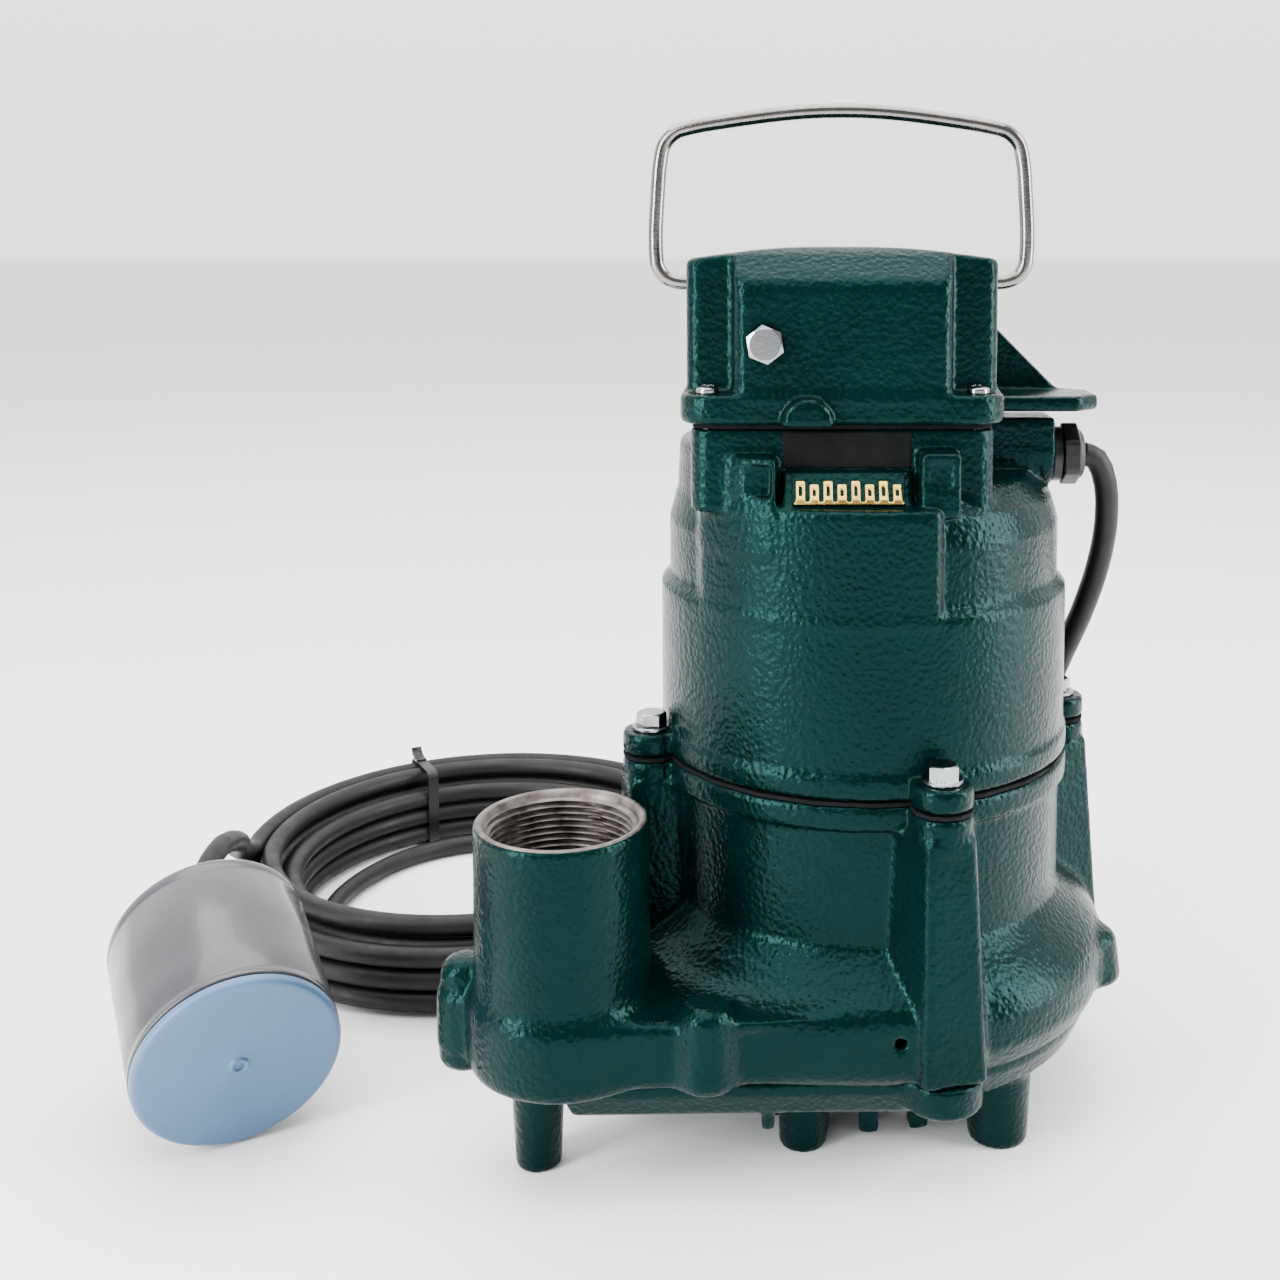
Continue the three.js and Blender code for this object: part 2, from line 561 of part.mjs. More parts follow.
// The bail: one wire, its ends turned in through the cap's two side holes.
const bailHalf = [
  [46, 0], [55.5, 0], [59, 0.4], [62.4, 2], [64.9, 5.6], [65.5, 10], [65.6, 18], [64.9, 30], [63.9, 42],
  [62.3, 48.5], [58.4, 52.6], [52.6, 54.4], [41, 56.4], [21.4, 59], [7.8, 60],
];
const bail = new THREE.Group();
bail.position.set(HANDLE.x, 0, HANDLE.z);
pump.add(bail);
piece('carry_handle', tube([
  ...bailHalf.map(([x, z]) => [-x, 0, z]),
  ...bailHalf.toReversed().map(([x, z]) => [x, 0, z]),
], HANDLE.wireR, 44), stainless, bail);

// ---------------------------------------------------------------- cord gland
piece('gland_body', alongX(turned([
  [CORD_R + 0.4, 0], [7.5, 0], [7.5, 12], [9.8, 12], [9.8, 15], [CORD_R + 0.4, 15],
], 14), 55.3, 0, GLAND_Z), gland);
piece('gland_nut', alongX(cut(
  join(disc(11.4, 0, 5.6, 6), cone(9.6, 5.5, 8.4, 7.8, 14)),
  disc(CORD_R + 0.4, -1, 9, 14),
), 70.6, 0, GLAND_Z), gland);

// ---------------------------------------------------------------- float
// Made along +Z from its front face, then tipped nose down and turned to lie beside the coil.
const floatPlace = new THREE.Group();
floatPlace.position.set(FLOAT.x, FLOAT.y, FLOAT.r * Math.cos(THREE.MathUtils.degToRad(FLOAT.tilt)) + 0.2);
floatPlace.rotation.z = THREE.MathUtils.degToRad(FLOAT.yaw);
const floatTilt = new THREE.Group();
floatTilt.rotation.x = THREE.MathUtils.degToRad(FLOAT.tilt - 90);
floatPlace.add(floatTilt);
pump.add(floatPlace);

const inside = FLOAT.r - FLOAT.wall;
piece('float_body', turned([
  [inside, 4], [FLOAT.r, 4], [FLOAT.r, 62.5], [32.5, 65], [30, 66], [5.3, 66],
  [5.3, 63], [28.5, 63], [inside, 60.5],
], 20), floatShell, floatTilt);
piece('float_cap', turned([
  [0, 0], [32.4, 0], [FLOAT.r, 1.3], [FLOAT.r, 4 - GAP], [inside - GAP, 4 - GAP], [inside - GAP, 8],
  [inside - 3, 8], [inside - 3, 4], [0, 4],
], 20), floatEnd, floatTilt);
piece('float_gland', turned([
  [0, 59.6], [8, 59.6], [8, 63 - GAP], [5, 63 - GAP], [5, 66 + GAP], [8, 66 + GAP], [7.4, 71],
  [5.6, FLOAT_PIVOT - 3.6],
  [4.9, FLOAT_PIVOT - 3.6], [1.5, FLOAT_PIVOT - 4.9], [0, FLOAT_PIVOT - 4.9],
], 14), gland, floatTilt);
piece('ball_track', turned([
  [BALL.r + 0.4, 5], [BALL.r + 2, 5], [BALL.r + 2, 44], [0, 44], [0, 43], [BALL.r + 0.4, 43],
], 14), gland, floatTilt);
piece('float_switch', block(-10, 10, -5, 5, 44.4, 55), gland, floatTilt);
const ball = new THREE.SphereGeometry(BALL.r, 12, 8).rotateX(Math.PI / 2);
piece('float_ball', ball, steel, floatTilt).position.z = BALL.z;

// ---------------------------------------------------------------- cords
// Two stacked rings hold the turns of the coil: the power cord below, the float's cable on top.
const layerHeight = COIL.rows * CORD_PITCH;
const coilInner = COIL.r - (COIL.columns - 0.5) * CORD_PITCH;
const coilOuter = COIL.r + 0.5 * CORD_PITCH;

function coilRing(z0) {
  return ring(coilInner, coilOuter, z0, z0 + layerHeight, 28).translate(COIL.x, COIL.y, 0);
}

piece('power_cord_coil', coilRing(COIL.foot), jacket);
piece('float_cord_coil', coilRing(COIL.foot + layerHeight + GAP), jacket);

function coilTie() {
  const top = COIL.foot + 2 * layerHeight + GAP;
  const middle = (coilInner + coilOuter) / 2;
  const half = (coilOuter - coilInner) / 2 + 0.9;
  const [width, strap] = [5, 1];
  const reach = half + strap;
  const outer = block(middle - reach, middle + reach, -width / 2, width / 2, 0.1, top + 0.3 + strap);
  const hole = block(middle - half, middle + half, -width, width, 0.1 + strap, top + 0.3);
  return cut(outer, hole).rotateZ(THREE.MathUtils.degToRad(COIL_TIE_ANGLE)).translate(COIL.x, COIL.y, 0);
}

piece('coil_tie', coilTie(), gland);

const powerLead = [
  [78.8, 0, 226], [83.6, 0.5, 224], [87.6, 3, 215], [89, 6.5, 201], [88, 13, 184], [84, 21, 164],
  [78.5, 31, 144], [73, 42, 122], [68.5, 53, 100], [64, 64, 78], [57, 76, 55], [46, 88, 34],
  [30, 97.5, 17], [12, 102, 8], [-8, 101.5, 4.8], [-30, 94, 4.5], [-52, 82, 5], [-69, 70, 5.8],
];
piece('power_cord_lead', tube(powerLead, CORD_R, 44, 8), jacket);

const powerTail = [
  [-93.5, 215.5, 12.5], [-80, 211, 9], [-62, 204.5, 5.5], [-40, 195.5, 4.4], [-20, 186.6, 6],
  [-6, 180.9, 9.9], [6.6, 176, 10.7],
];
piece('power_cord_tail', tube(powerTail, CORD_R, 20, 8), jacket);

const floatLead = [
  [-246, 4.9, 56.6], [-248, 13, 59.2], [-249.5, 25, 62.5], [-250.2, 40, 63.6], [-250.6, 54, 60.4],
  [-252, 66, 54.6], [-256.4, 75, 49.2],
];
piece('float_cord_lead', tube(floatLead, CORD_R, 20, 8), jacket);

const floatTail = [
  [-64.6, 178.9, 21.4], [-54, 169.5, 16.4], [-42, 159.5, 10.4], [-26, 149, 5.4], [-12, 141.2, 6.2],
  [0, 137.2, 9.9], [11.6, 133.7, 10.7],
];
piece('float_cord_tail', tube(floatTail, CORD_R, 20, 8), jacket);

function plugAt(prefix, x, y, degrees) {
  const place = new THREE.Group();
  place.position.set(x, y, PLUG.height / 2 + 0.2);
  place.rotation.z = THREE.MathUtils.degToRad(degrees);
  pump.add(place);
  const grip = roundedBlock(PLUG.height / 2, PLUG.width / 2, 6, 12, PLUG.length);
  const neck = cone(5.6, 0, 8.4, 14, 14);
  const socket = roundedBlock(7.6, 9.6, 2, PLUG.length - 9, PLUG.length + 1);
  const pins = [
    block(-3.2, 3.2, -7.1, -5.6, PLUG.length - 6, PLUG.length + 15.5),
    block(-3.2, 3.2, 5.6, 7.1, PLUG.length - 6, PLUG.length + 15.5),
    disc(2.4, PLUG.length - 6, PLUG.length + 18, 8).translate(4.6, 0, 0),
    roundedBlock(7.2, 9.2, 2, PLUG.length - 8.5, PLUG.length - 5),
  ];
  piece(`${prefix}_plug`, alongX(cut(join(neck, grip), socket), 0, 0, 0), gland, place);
  piece(`${prefix}_plug_pins`, alongX(join(...pins), 0, 0, 0), brass, place);
}

plugAt('power', 7.6, 175.6, -21);
plugAt('float', 12.6, 133.4, -17);

const sumpPump = new THREE.Group();
pump.position.copy(MOTOR_AXIS);
sumpPump.add(pump);

export default sumpPump;
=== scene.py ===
# The looks of the submersible sump pump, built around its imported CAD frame.
#
# Shapes are given in millimetres from the motor axis, as in the part, and placed in the
# frame in metres by at(). Castings are carved as signed distance fields, so that their
# edges, fillets and blends are real geometry; smaller pieces are lathed, swept or carved.

import math

import bpy
import numpy as np
import openvdb
from mathutils import Matrix, Vector


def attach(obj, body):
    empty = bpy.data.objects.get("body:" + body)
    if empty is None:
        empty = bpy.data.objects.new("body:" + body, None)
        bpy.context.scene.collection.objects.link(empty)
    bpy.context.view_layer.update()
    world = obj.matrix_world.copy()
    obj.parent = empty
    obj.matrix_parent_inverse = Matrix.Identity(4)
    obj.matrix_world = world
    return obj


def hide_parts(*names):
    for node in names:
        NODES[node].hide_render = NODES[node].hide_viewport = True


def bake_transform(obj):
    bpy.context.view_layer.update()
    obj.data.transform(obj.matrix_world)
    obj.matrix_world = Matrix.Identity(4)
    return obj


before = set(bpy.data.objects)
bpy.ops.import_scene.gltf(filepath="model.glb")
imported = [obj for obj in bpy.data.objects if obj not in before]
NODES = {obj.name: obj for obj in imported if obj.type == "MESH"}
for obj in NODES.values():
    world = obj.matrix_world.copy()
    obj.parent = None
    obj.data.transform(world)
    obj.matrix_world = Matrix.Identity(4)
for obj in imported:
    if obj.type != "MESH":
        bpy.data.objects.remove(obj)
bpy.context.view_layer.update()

MOTOR_AXIS = Vector((85.6, 2.95, 0))


def at(x, y, z):
    """A point in mm from the motor axis, as a place in the frame in metres."""
    return (Vector((x, y, z)) + MOTOR_AXIS) / 1000


def placed(points):
    """Rows of mm from the motor axis, as rows of metres in the frame."""
    return (np.asarray(points, float) + np.array(MOTOR_AXIS)) / 1000


# ---------------------------------------------------------------- camera and light
def make_camera():
    data = bpy.data.cameras.new("camera")
    data.sensor_width = 36
    data.lens = 42.69
    data.shift_x = -0.1
    data.shift_y = -0.2
    camera = bpy.data.objects.new("camera", data)
    camera.location = at(-31.6, -539.1, 300.6)
    camera.rotation_euler = (math.pi / 2 - 0.0919, 0, 0.0043)
    bpy.context.scene.collection.objects.link(camera)
    bpy.context.scene.camera = camera


def area_light(name, place, target, size, power):
    data = bpy.data.lights.new(name, "AREA")
    data.shape = "RECTANGLE"
    data.size, data.size_y = size
    data.energy = power
    light = bpy.data.objects.new(name, data)
    light.location = place
    light.rotation_euler = (Vector(target) - Vector(place)).to_track_quat("-Z", "Y").to_euler()
    bpy.context.scene.collection.objects.link(light)


def make_lights():
    middle = (0, 0, 0.16)
    area_light("left_softbox", (-1.05, -0.85, 0.6), middle, (0.42, 1.3), 50)
    area_light("right_softbox", (1.3, -0.25, 0.55), middle, (0.5, 1.4), 42)
    area_light("top_softbox", (-0.1, 0.0, 1.7), middle, (2.2, 1.8), 62)
    area_light("front_fill", (-0.8, -1.7, 1.3), middle, (0.9, 0.6), 9)

    world = bpy.data.worlds.new("studio")
    bpy.context.scene.world = world
    world.use_nodes = True
    nodes, links = world.node_tree.nodes, world.node_tree.links
    background = nodes["Background"]
    background.inputs["Color"].default_value = (1.0, 1.0, 1.0, 1)
    direction = nodes.new("ShaderNodeSeparateXYZ")
    links.new(nodes.new("ShaderNodeTexCoord").outputs["Generated"], direction.inputs[0])
    strength = nodes.new("ShaderNodeMapRange")
    strength.interpolation_type = "SMOOTHSTEP"
    for key, value in (("From Min", -0.6), ("From Max", 0.5), ("To Min", 0.16), ("To Max", 1.0)):
        strength.inputs[key].default_value = value
    links.new(direction.outputs["Y"], strength.inputs["Value"])
    height = nodes.new("ShaderNodeMapRange")
    for key, value in (("From Min", 0.0), ("From Max", 0.8), ("To Min", 2.3), ("To Max", 3.4)):
        height.inputs[key].default_value = value
    links.new(direction.outputs["Z"], height.inputs["Value"])
    product = nodes.new("ShaderNodeMath")
    product.operation = "MULTIPLY"
    links.new(strength.outputs["Result"], product.inputs[0])
    links.new(height.outputs["Result"], product.inputs[1])
    links.new(product.outputs["Value"], background.inputs["Strength"])


# ---------------------------------------------------------------- materials
class Look:
    """A node material with short ways to add noise, colour ramps and bump."""

    def __init__(self, name, **settings):
        self.material = bpy.data.materials.new(name)
        self.material.use_nodes = True
        self.tree = self.material.node_tree
        self.shader = self.tree.nodes["Principled BSDF"]
        self.place = self.add("ShaderNodeTexCoord").outputs["Object"]
        self.height = None
        for key, value in settings.items():
            self.shader.inputs[key.replace("_", " ")].default_value = value

    def add(self, kind, inputs=None, **settings):
        made = self.tree.nodes.new(kind)
        for key, value in settings.items():
            setattr(made, key, value)
        for key, value in (inputs or {}).items():
            if isinstance(value, bpy.types.NodeSocket):
                self.tree.links.new(value, made.inputs[key])
            else:
                made.inputs[key].default_value = value
        return made

    def stretched(self, scale):
        return self.add("ShaderNodeMapping", {"Vector": self.place, "Scale": scale}).outputs["Vector"]

    def noise(self, scale, detail=3, roughness=0.5, where=None):
        return self.add("ShaderNodeTexNoise", {
            "Vector": where or self.place, "Scale": scale, "Detail": detail, "Roughness": roughness,
        }).outputs["Fac"]

    def cells(self, scale):
        return self.add("ShaderNodeTexVoronoi", {
            "Vector": self.place, "Scale": scale, "Smoothness": 0.6,
        }, feature="SMOOTH_F1").outputs["Distance"]

    def ramp(self, value, stops):
        made = self.add("ShaderNodeValToRGB", {"Fac": value})
        slots = made.color_ramp.elements
        while len(slots) < len(stops):
            slots.new(0.5)
        for element, (position, colour) in zip(slots, stops):
            element.position = position
            element.color = (*colour, 1)
        return made.outputs["Color"]

    def span(self, value, low, high, start=0.0, end=1.0):
        return self.add("ShaderNodeMapRange", {
            "Value": value, "From Min": start, "From Max": end, "To Min": low, "To Max": high,
        }).outputs["Result"]

    def colour(self, value):
        self.tree.links.new(value, self.shader.inputs["Base Color"])

    def rough(self, value):
        self.tree.links.new(value, self.shader.inputs["Roughness"])

    def bump(self, value, depth, strength=1.0):
        inputs = {"Height": value, "Distance": depth, "Strength": strength}
        if self.height is not None:
            inputs["Normal"] = self.height
        self.height = self.add("ShaderNodeBump", inputs).outputs["Normal"]
        self.tree.links.new(self.height, self.shader.inputs["Normal"])


def linear(red, green, blue):
    """An sRGB colour of 0-255 as linear light."""
    def part(value):
        value /= 255
        return value / 12.92 if value <= 0.04045 else ((value + 0.055) / 1.055) ** 2.4
    return part(red), part(green), part(blue)


def enamel_look():
    look = Look("green_enamel", Metallic=0.0, IOR=1.46, Specular_IOR_Level=0.15)
    look.shader.inputs["Specular Tint"].default_value = (0.3, 0.9, 0.85, 1)
    pooled = look.noise(30, 3)
    look.colour(look.ramp(pooled, [(0.3, linear(0, 14, 13)), (0.7, linear(0, 21, 19))]))
    look.rough(look.span(look.noise(160, 3), 0.16, 0.28, 0.3, 0.7))
    look.bump(look.noise(26, 2), 0.001, 0.25)
    look.bump(look.cells(540), 0.0005, 0.5)
    look.bump(look.noise(950, 2, 0.6), 0.0003, 0.5)
    return look.material


def metal_look(name, colour, roughness, grain=(1, 1, 1), depth=0.00006):
    look = Look(name, Metallic=1.0)
    where = look.stretched(grain)
    mottled = look.noise(90, 4)
    dark = tuple(0.72 * c for c in colour)
    look.colour(look.ramp(mottled, [(0.3, dark), (0.68, colour)]))
    look.rough(look.span(look.noise(240, 3, 0.6, where), roughness * 0.75, roughness * 1.35, 0.3, 0.7))
    look.bump(look.noise(900, 3, 0.6, where), depth, 0.8)
    return look.material


def plastic_look(name, colour, roughness, depth=0.00008, scale=900, spread=0.12, **settings):
    look = Look(name, Metallic=0.0, **settings)
    dark = tuple((1 - spread) * c for c in colour)
    bright = tuple(min(1, (1 + spread) * c) for c in colour)
    look.colour(look.ramp(look.noise(46, 3), [(0.3, dark), (0.7, bright)]))
    look.rough(look.span(look.noise(120, 3), roughness * 0.85, roughness * 1.2, 0.3, 0.7))
    look.bump(look.noise(scale, 3, 0.6), depth, 0.7)
    return look.material


def thread_look():
    look = Look("bare_iron", Metallic=0.75)
    look.colour(look.ramp(look.noise(150, 4), [(0.3, linear(58, 50, 46)), (0.7, linear(118, 112, 108))]))
    look.rough(look.span(look.noise(300, 3), 0.32, 0.5, 0.3, 0.7))
    look.bump(look.noise(1100, 3, 0.65), 0.0001, 0.8)
    return look.material


LOOKS = {}


def make_looks():
    LOOKS.update({
        "green_enamel": enamel_look(),
        "bare_iron": thread_look(),
        "machined_iron": metal_look("machined_iron", linear(150, 152, 152), 0.36, depth=0.0001),
        "zinc_steel": metal_look("zinc_steel", linear(150, 152, 155), 0.16, depth=0.00005),
        "bearing_steel": metal_look("bearing_steel", linear(186, 188, 192), 0.16),
        "stainless_wire": metal_look("stainless_wire", linear(136, 133, 130), 0.16, (1, 0.2, 1)),
        "lamination_steel": metal_look("lamination_steel", linear(128, 130, 134), 0.4, (0.1, 0.1, 4)),
        "winding_copper": metal_look("winding_copper", linear(176, 98, 58), 0.35, (0.3, 0.3, 3), 0.0003),
        "cage_bronze": metal_look("cage_bronze", linear(186, 150, 88), 0.3),
        "brass": metal_look("brass", linear(214, 178, 92), 0.27, depth=0.00008),
        "gasket_rubber": plastic_look("gasket_rubber", linear(9, 10, 11), 0.8, Specular_IOR_Level=0.1),
        "cord_jacket": plastic_look(
            "cord_jacket", linear(11, 10, 10), 0.5, 0.00012, 500, 0.18, Specular_IOR_Level=0.25),
        "black_plastic": plastic_look(
            "black_plastic", linear(8, 8, 10), 0.36, 0.00006, Specular_IOR_Level=0.3),
        "seal_ceramic": plastic_look("seal_ceramic", linear(226, 221, 210), 0.18),
        "impeller_plastic": plastic_look("impeller_plastic", linear(48, 51, 58), 0.45),
        "float_shell": plastic_look(
            "float_shell", linear(52, 52, 56), 0.26, 0.00005, 500, 0.06, Coat_Weight=0.2),
        "float_end": plastic_look("float_end", linear(68, 100, 132), 0.42, 0.0001, 380, 0.05),
    })


def finished(piece, body, slot, replaced=()):
    """Paints a new piece, and has it ride on a body and stand for CAD nodes."""
    piece.data.materials.clear()
    piece.data.materials.append(LOOKS[slot])
    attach(piece, body)
    if replaced:
        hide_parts(*replaced)
    return piece


def mesh_piece(name, points, faces, crease=None):
    """A smooth mesh of points in mm from the motor axis. Edges sharper than crease degrees stay sharp."""
    mesh = bpy.data.meshes.new(name)
    if isinstance(faces, np.ndarray):
        faces = faces.tolist()
    mesh.from_pydata(placed(points).tolist(), [], faces)
    mesh.validate()
    mesh.shade_smooth()
    if crease is not None:
        mesh.set_sharp_from_angle(angle=math.radians(crease))
    made = bpy.data.objects.new(name, mesh)
    bpy.context.scene.collection.objects.link(made)
    return made


# ---------------------------------------------------------------- swept and lathed pieces
def smooth_route(points, step):
    """Points about step apart on a centripetal Catmull-Rom curve through the given ones."""
    p = np.asarray(points, float)
    p = np.vstack([2 * p[0] - p[1], p, 2 * p[-1] - p[-2]])
    out = []
    for a, b, c, d in zip(p, p[1:], p[2:], p[3:]):
        t0 = 0.0
        t1 = t0 + np.linalg.norm(b - a) ** 0.5
        t2 = t1 + np.linalg.norm(c - b) ** 0.5
        t3 = t2 + np.linalg.norm(d - c) ** 0.5
        count = max(2, int(round(np.linalg.norm(c - b) / step)))
        for t in np.linspace(t1, t2, count, endpoint=False):
            a1 = (t1 - t) / (t1 - t0) * a + (t - t0) / (t1 - t0) * b
            a2 = (t2 - t) / (t2 - t1) * b + (t - t1) / (t2 - t1) * c
            a3 = (t3 - t) / (t3 - t2) * c + (t - t2) / (t3 - t2) * d
            b1 = (t2 - t) / (t2 - t0) * a1 + (t - t0) / (t2 - t0) * a2
            b2 = (t3 - t) / (t3 - t1) * a2 + (t - t1) / (t3 - t1) * a3
            out.append((t2 - t) / (t2 - t1) * b1 + (t - t1) / (t2 - t1) * b2)
    out.append(p[-2])
    return np.array(out)


def sweep(route, section, radii=None, closed=False, up=None):
    """Points and faces of a section of [side, up] pairs carried along a route, both in mm."""
    route = np.asarray(route, float)
    ahead = np.roll(route, -1, axis=0) - np.roll(route, 1, axis=0)
    if not closed:
        ahead[0], ahead[-1] = route[1] - route[0], route[-1] - route[-2]
    ahead /= np.linalg.norm(ahead, axis=1)[:, None]
    section = np.asarray(section, float)
    side = np.cross(ahead[0], up if up is not None else (0.123, 0.21, 0.97))
    points = []
    for i, (place, forward) in enumerate(zip(route, ahead)):
        if up is not None:
            side = np.cross(forward, up)
        side = side - forward * (side @ forward)
        side /= np.linalg.norm(side)
        over = np.cross(side, forward)
        size = 1 if radii is None else radii[i]
        points.append(place + size * (section[:, :1] * side + section[:, 1:] * over))
    count, sides = len(route), len(section)
    faces = []
    for i in range(count if closed else count - 1):
        a, b = i * sides, (i + 1) % count * sides
        for j in range(sides):
            k = (j + 1) % sides
            faces.append((a + j, a + k, b + k, b + j))
    if not closed:
        faces.append(tuple(reversed(range(sides))))
        faces.append(tuple(range((count - 1) * sides, count * sides)))
    return np.vstack(points), faces


def round_section(radius, sides=24):
    angles = np.linspace(0, 2 * math.pi, sides, endpoint=False)
    return np.column_stack([radius * np.cos(angles), radius * np.sin(angles)])


def turned(profile, sides=96, place=None):
    """Points and faces of a closed profile of [radius, z] pairs turned about Z, moved by place."""
    angles = np.linspace(0, 2 * math.pi, sides, endpoint=False)
    points, rings = [], []
    for radius, z in profile:
        if radius <= 1e-6:
            rings.append([len(points)] * sides)
            points.append((0, 0, z))
        else:
            rings.append(list(range(len(points), len(points) + sides)))
            points.extend((radius * math.cos(a), radius * math.sin(a), z) for a in angles)
    faces = []
    for low, high in zip(rings, rings[1:] + rings[:1]):
        for j in range(sides):
            k = (j + 1) % sides
            face = list(dict.fromkeys((low[j], low[k], high[k], high[j])))
            if len(face) > 2:
                faces.append(face)
    return moved(np.array(points), place), faces


def moved(points, place):
    """The points, moved by a matrix where one is given."""
    if place is None:
        return points
    return points @ np.array(place.to_3x3()).T + np.array(place.translation)


def combined(*parts):
    """Several (points, faces) pairs as one pair."""
    points, faces, start = [], [], 0
    for some, polygons in parts:
        points.append(some)
        faces.extend(tuple(i + start for i in face) for face in polygons)
        start += len(some)
    return np.vstack(points), faces


def hexagon(across_flats, height, chamfer=0.94, place=None):
    """A hexagon head standing on z = 0, its top corners turned off at 30 degrees."""
    sides = 72
    apothem = across_flats / 2
    angles = np.linspace(0, 2 * math.pi, sides, endpoint=False)
    reach = apothem / np.cos((angles + math.pi / 6) % (math.pi / 3) - math.pi / 6)
    circle = apothem * chamfer
    flank = height - (reach - circle) * math.tan(math.radians(30))
    unit = np.column_stack([np.cos(angles), np.sin(angles)])
    rings = [
        np.column_stack([unit * reach[:, None], np.zeros(sides)]),
        np.column_stack([unit * reach[:, None], flank]),
        np.column_stack([unit * circle, np.full(sides, height)]),
        np.column_stack([unit * circle * 0.55, np.full(sides, height)]),
    ]
    points = np.vstack([*rings, [[0, 0, height], [0, 0, 0]]])
    faces = []
    for a in range(3):
        for j in range(sides):
            k = (j + 1) % sides
            faces.append((a * sides + j, a * sides + k, (a + 1) * sides + k, (a + 1) * sides + j))
    top, foot = 4 * sides, 4 * sides + 1
    for j in range(sides):
        k = (j + 1) % sides
        faces.append((3 * sides + j, 3 * sides + k, top))
        faces.append((k, j, foot))
    return moved(points, place), faces


# ---------------------------------------------------------------- cords
CORD_R = 4.25
COIL = (-163.0, 130.0)
COLUMNS = (101.0, 92.3, 83.6, 74.9)
ROWS = (5.75, 14.45, 23.45, 32.15)

POWER_LEAD = [
    [78.8, 0, 226], [83.6, 0.5, 224], [87.6, 3, 215], [89, 6.5, 201], [88, 13, 184], [84, 21, 164],
    [78.5, 31, 144], [73, 42, 122], [68.5, 53, 100], [64, 64, 78], [57, 76, 55], [46, 88, 34],
    [30, 97.5, 17], [12, 102, 8], [-8, 101.5, 4.8], [-30, 94, 4.5], [-52, 82, 5], [-69, 70, 5.8],
]
POWER_TAIL = [
    [-93.5, 215.5, 12.5], [-80, 211, 9], [-62, 204.5, 5.5], [-40, 195.5, 4.4], [-20, 186.6, 6],
    [-6, 180.9, 9.9], [6.6, 176, 10.7],
]
FLOAT_LEAD = [
    [-246, 4.9, 56.6], [-248, 13, 59.2], [-249.5, 25, 62.5], [-250.2, 40, 63.6], [-250.6, 54, 60.4],
    [-252, 66, 54.6], [-256.4, 75, 49.2],
]
FLOAT_TAIL = [
    [-64.6, 178.9, 21.4], [-54, 169.5, 16.4], [-42, 159.5, 10.4], [-26, 149, 5.4], [-12, 141.2, 6.2],
    [0, 137.2, 9.9], [11.6, 133.7, 10.7],
]
# Along each winding: degrees wound clockwise from where it enters, radius, height.
POWER_WINDING = [
    (0, COLUMNS[0], ROWS[0]), (265, COLUMNS[0], ROWS[0]), (325, COLUMNS[1], ROWS[0]),
    (625, COLUMNS[1], ROWS[0]), (685, COLUMNS[2], ROWS[0]), (985, COLUMNS[2], ROWS[0]),
    (1045, COLUMNS[3], ROWS[0]), (1130, COLUMNS[3], ROWS[0]), (1235, 62.5, 4.5), (1330, 62.5, 4.5),
    (1405, 65.6, 5.2), (1450, 66.2, ROWS[1]),
    (1510, COLUMNS[2], ROWS[1]), (1705, COLUMNS[2], ROWS[1]), (1765, COLUMNS[1], ROWS[1]),
    (2065, COLUMNS[1], ROWS[1]), (2125, COLUMNS[0], ROWS[1]), (2390, COLUMNS[0], ROWS[1]),
]
FLOAT_WINDING = [
    (0, COLUMNS[0], ROWS[3]), (155, COLUMNS[0], ROWS[3]), (215, COLUMNS[1], ROWS[3]),
    (515, COLUMNS[1], ROWS[3]), (575, COLUMNS[2], ROWS[3]), (640, COLUMNS[2], ROWS[2]),
    (875, COLUMNS[2], ROWS[2]),
    (935, COLUMNS[1], ROWS[2]), (1235, COLUMNS[1], ROWS[2]), (1295, COLUMNS[0], ROWS[2]),
    (1585, COLUMNS[0], ROWS[2]),
]


def winding(keys, enters_at):
    """The turns of a coil, smoothly changing column and row between the keys."""
    wound, radius, height = (np.array(v, float) for v in zip(*keys))
    turned_by = np.arange(0, wound[-1] + 1e-6, 3.0)
    index = np.clip(np.searchsorted(wound, turned_by, side="right") - 1, 0, len(wound) - 2)
    part = np.clip((turned_by - wound[index]) / (wound[index + 1] - wound[index]), 0, 1)
    ease = part * part * (3 - 2 * part)
    r = radius[index] + ease * (radius[index + 1] - radius[index])
    z = height[index] + ease * (height[index + 1] - height[index])
    angle = np.radians(enters_at - turned_by)
    # Hand-wound turns are never perfectly round. All of them share the same slight waves.
    r = r + 0.9 * np.sin(2 * angle + 0.6) + 0.5 * np.sin(3 * angle + 1.9)
    return np.column_stack([COIL[0] + r * np.cos(angle), COIL[1] + r * np.sin(angle), z])


def cord_curve(name, points):
    """A round cord along points in mm from the motor axis, as a curve with a bevel."""
    data = bpy.data.curves.new(name, "CURVE")
    data.dimensions = "3D"
    data.bevel_depth = CORD_R / 1000
    data.bevel_resolution = 5
    data.use_fill_caps = True
    spline = data.splines.new("POLY")
    spline.points.add(len(points) - 1)
    flat = np.column_stack([placed(points), np.ones(len(points))])
    spline.points.foreach_set("co", flat.ravel())
    spline.use_smooth = True
    made = bpy.data.objects.new(name, data)
    bpy.context.scene.collection.objects.link(made)
    return made


def make_cords():
    power_turns = winding(POWER_WINDING, -55)
    float_turns = winding(FLOAT_WINDING, 195)
    power = smooth_route([*POWER_LEAD, *power_turns[2:-2:2], *POWER_TAIL], 5)
    floats = smooth_route([*FLOAT_LEAD, *float_turns[2:-2:2], *FLOAT_TAIL], 5)
    made = cord_curve("power_cord", power), cord_curve("float_cord", floats)
    finished(made[0], "pump", "cord_jacket", ["power_cord_lead", "power_cord_coil", "power_cord_tail"])
    finished(made[1], "pump", "cord_jacket", ["float_cord_lead", "float_cord_coil", "float_cord_tail"])
    return made


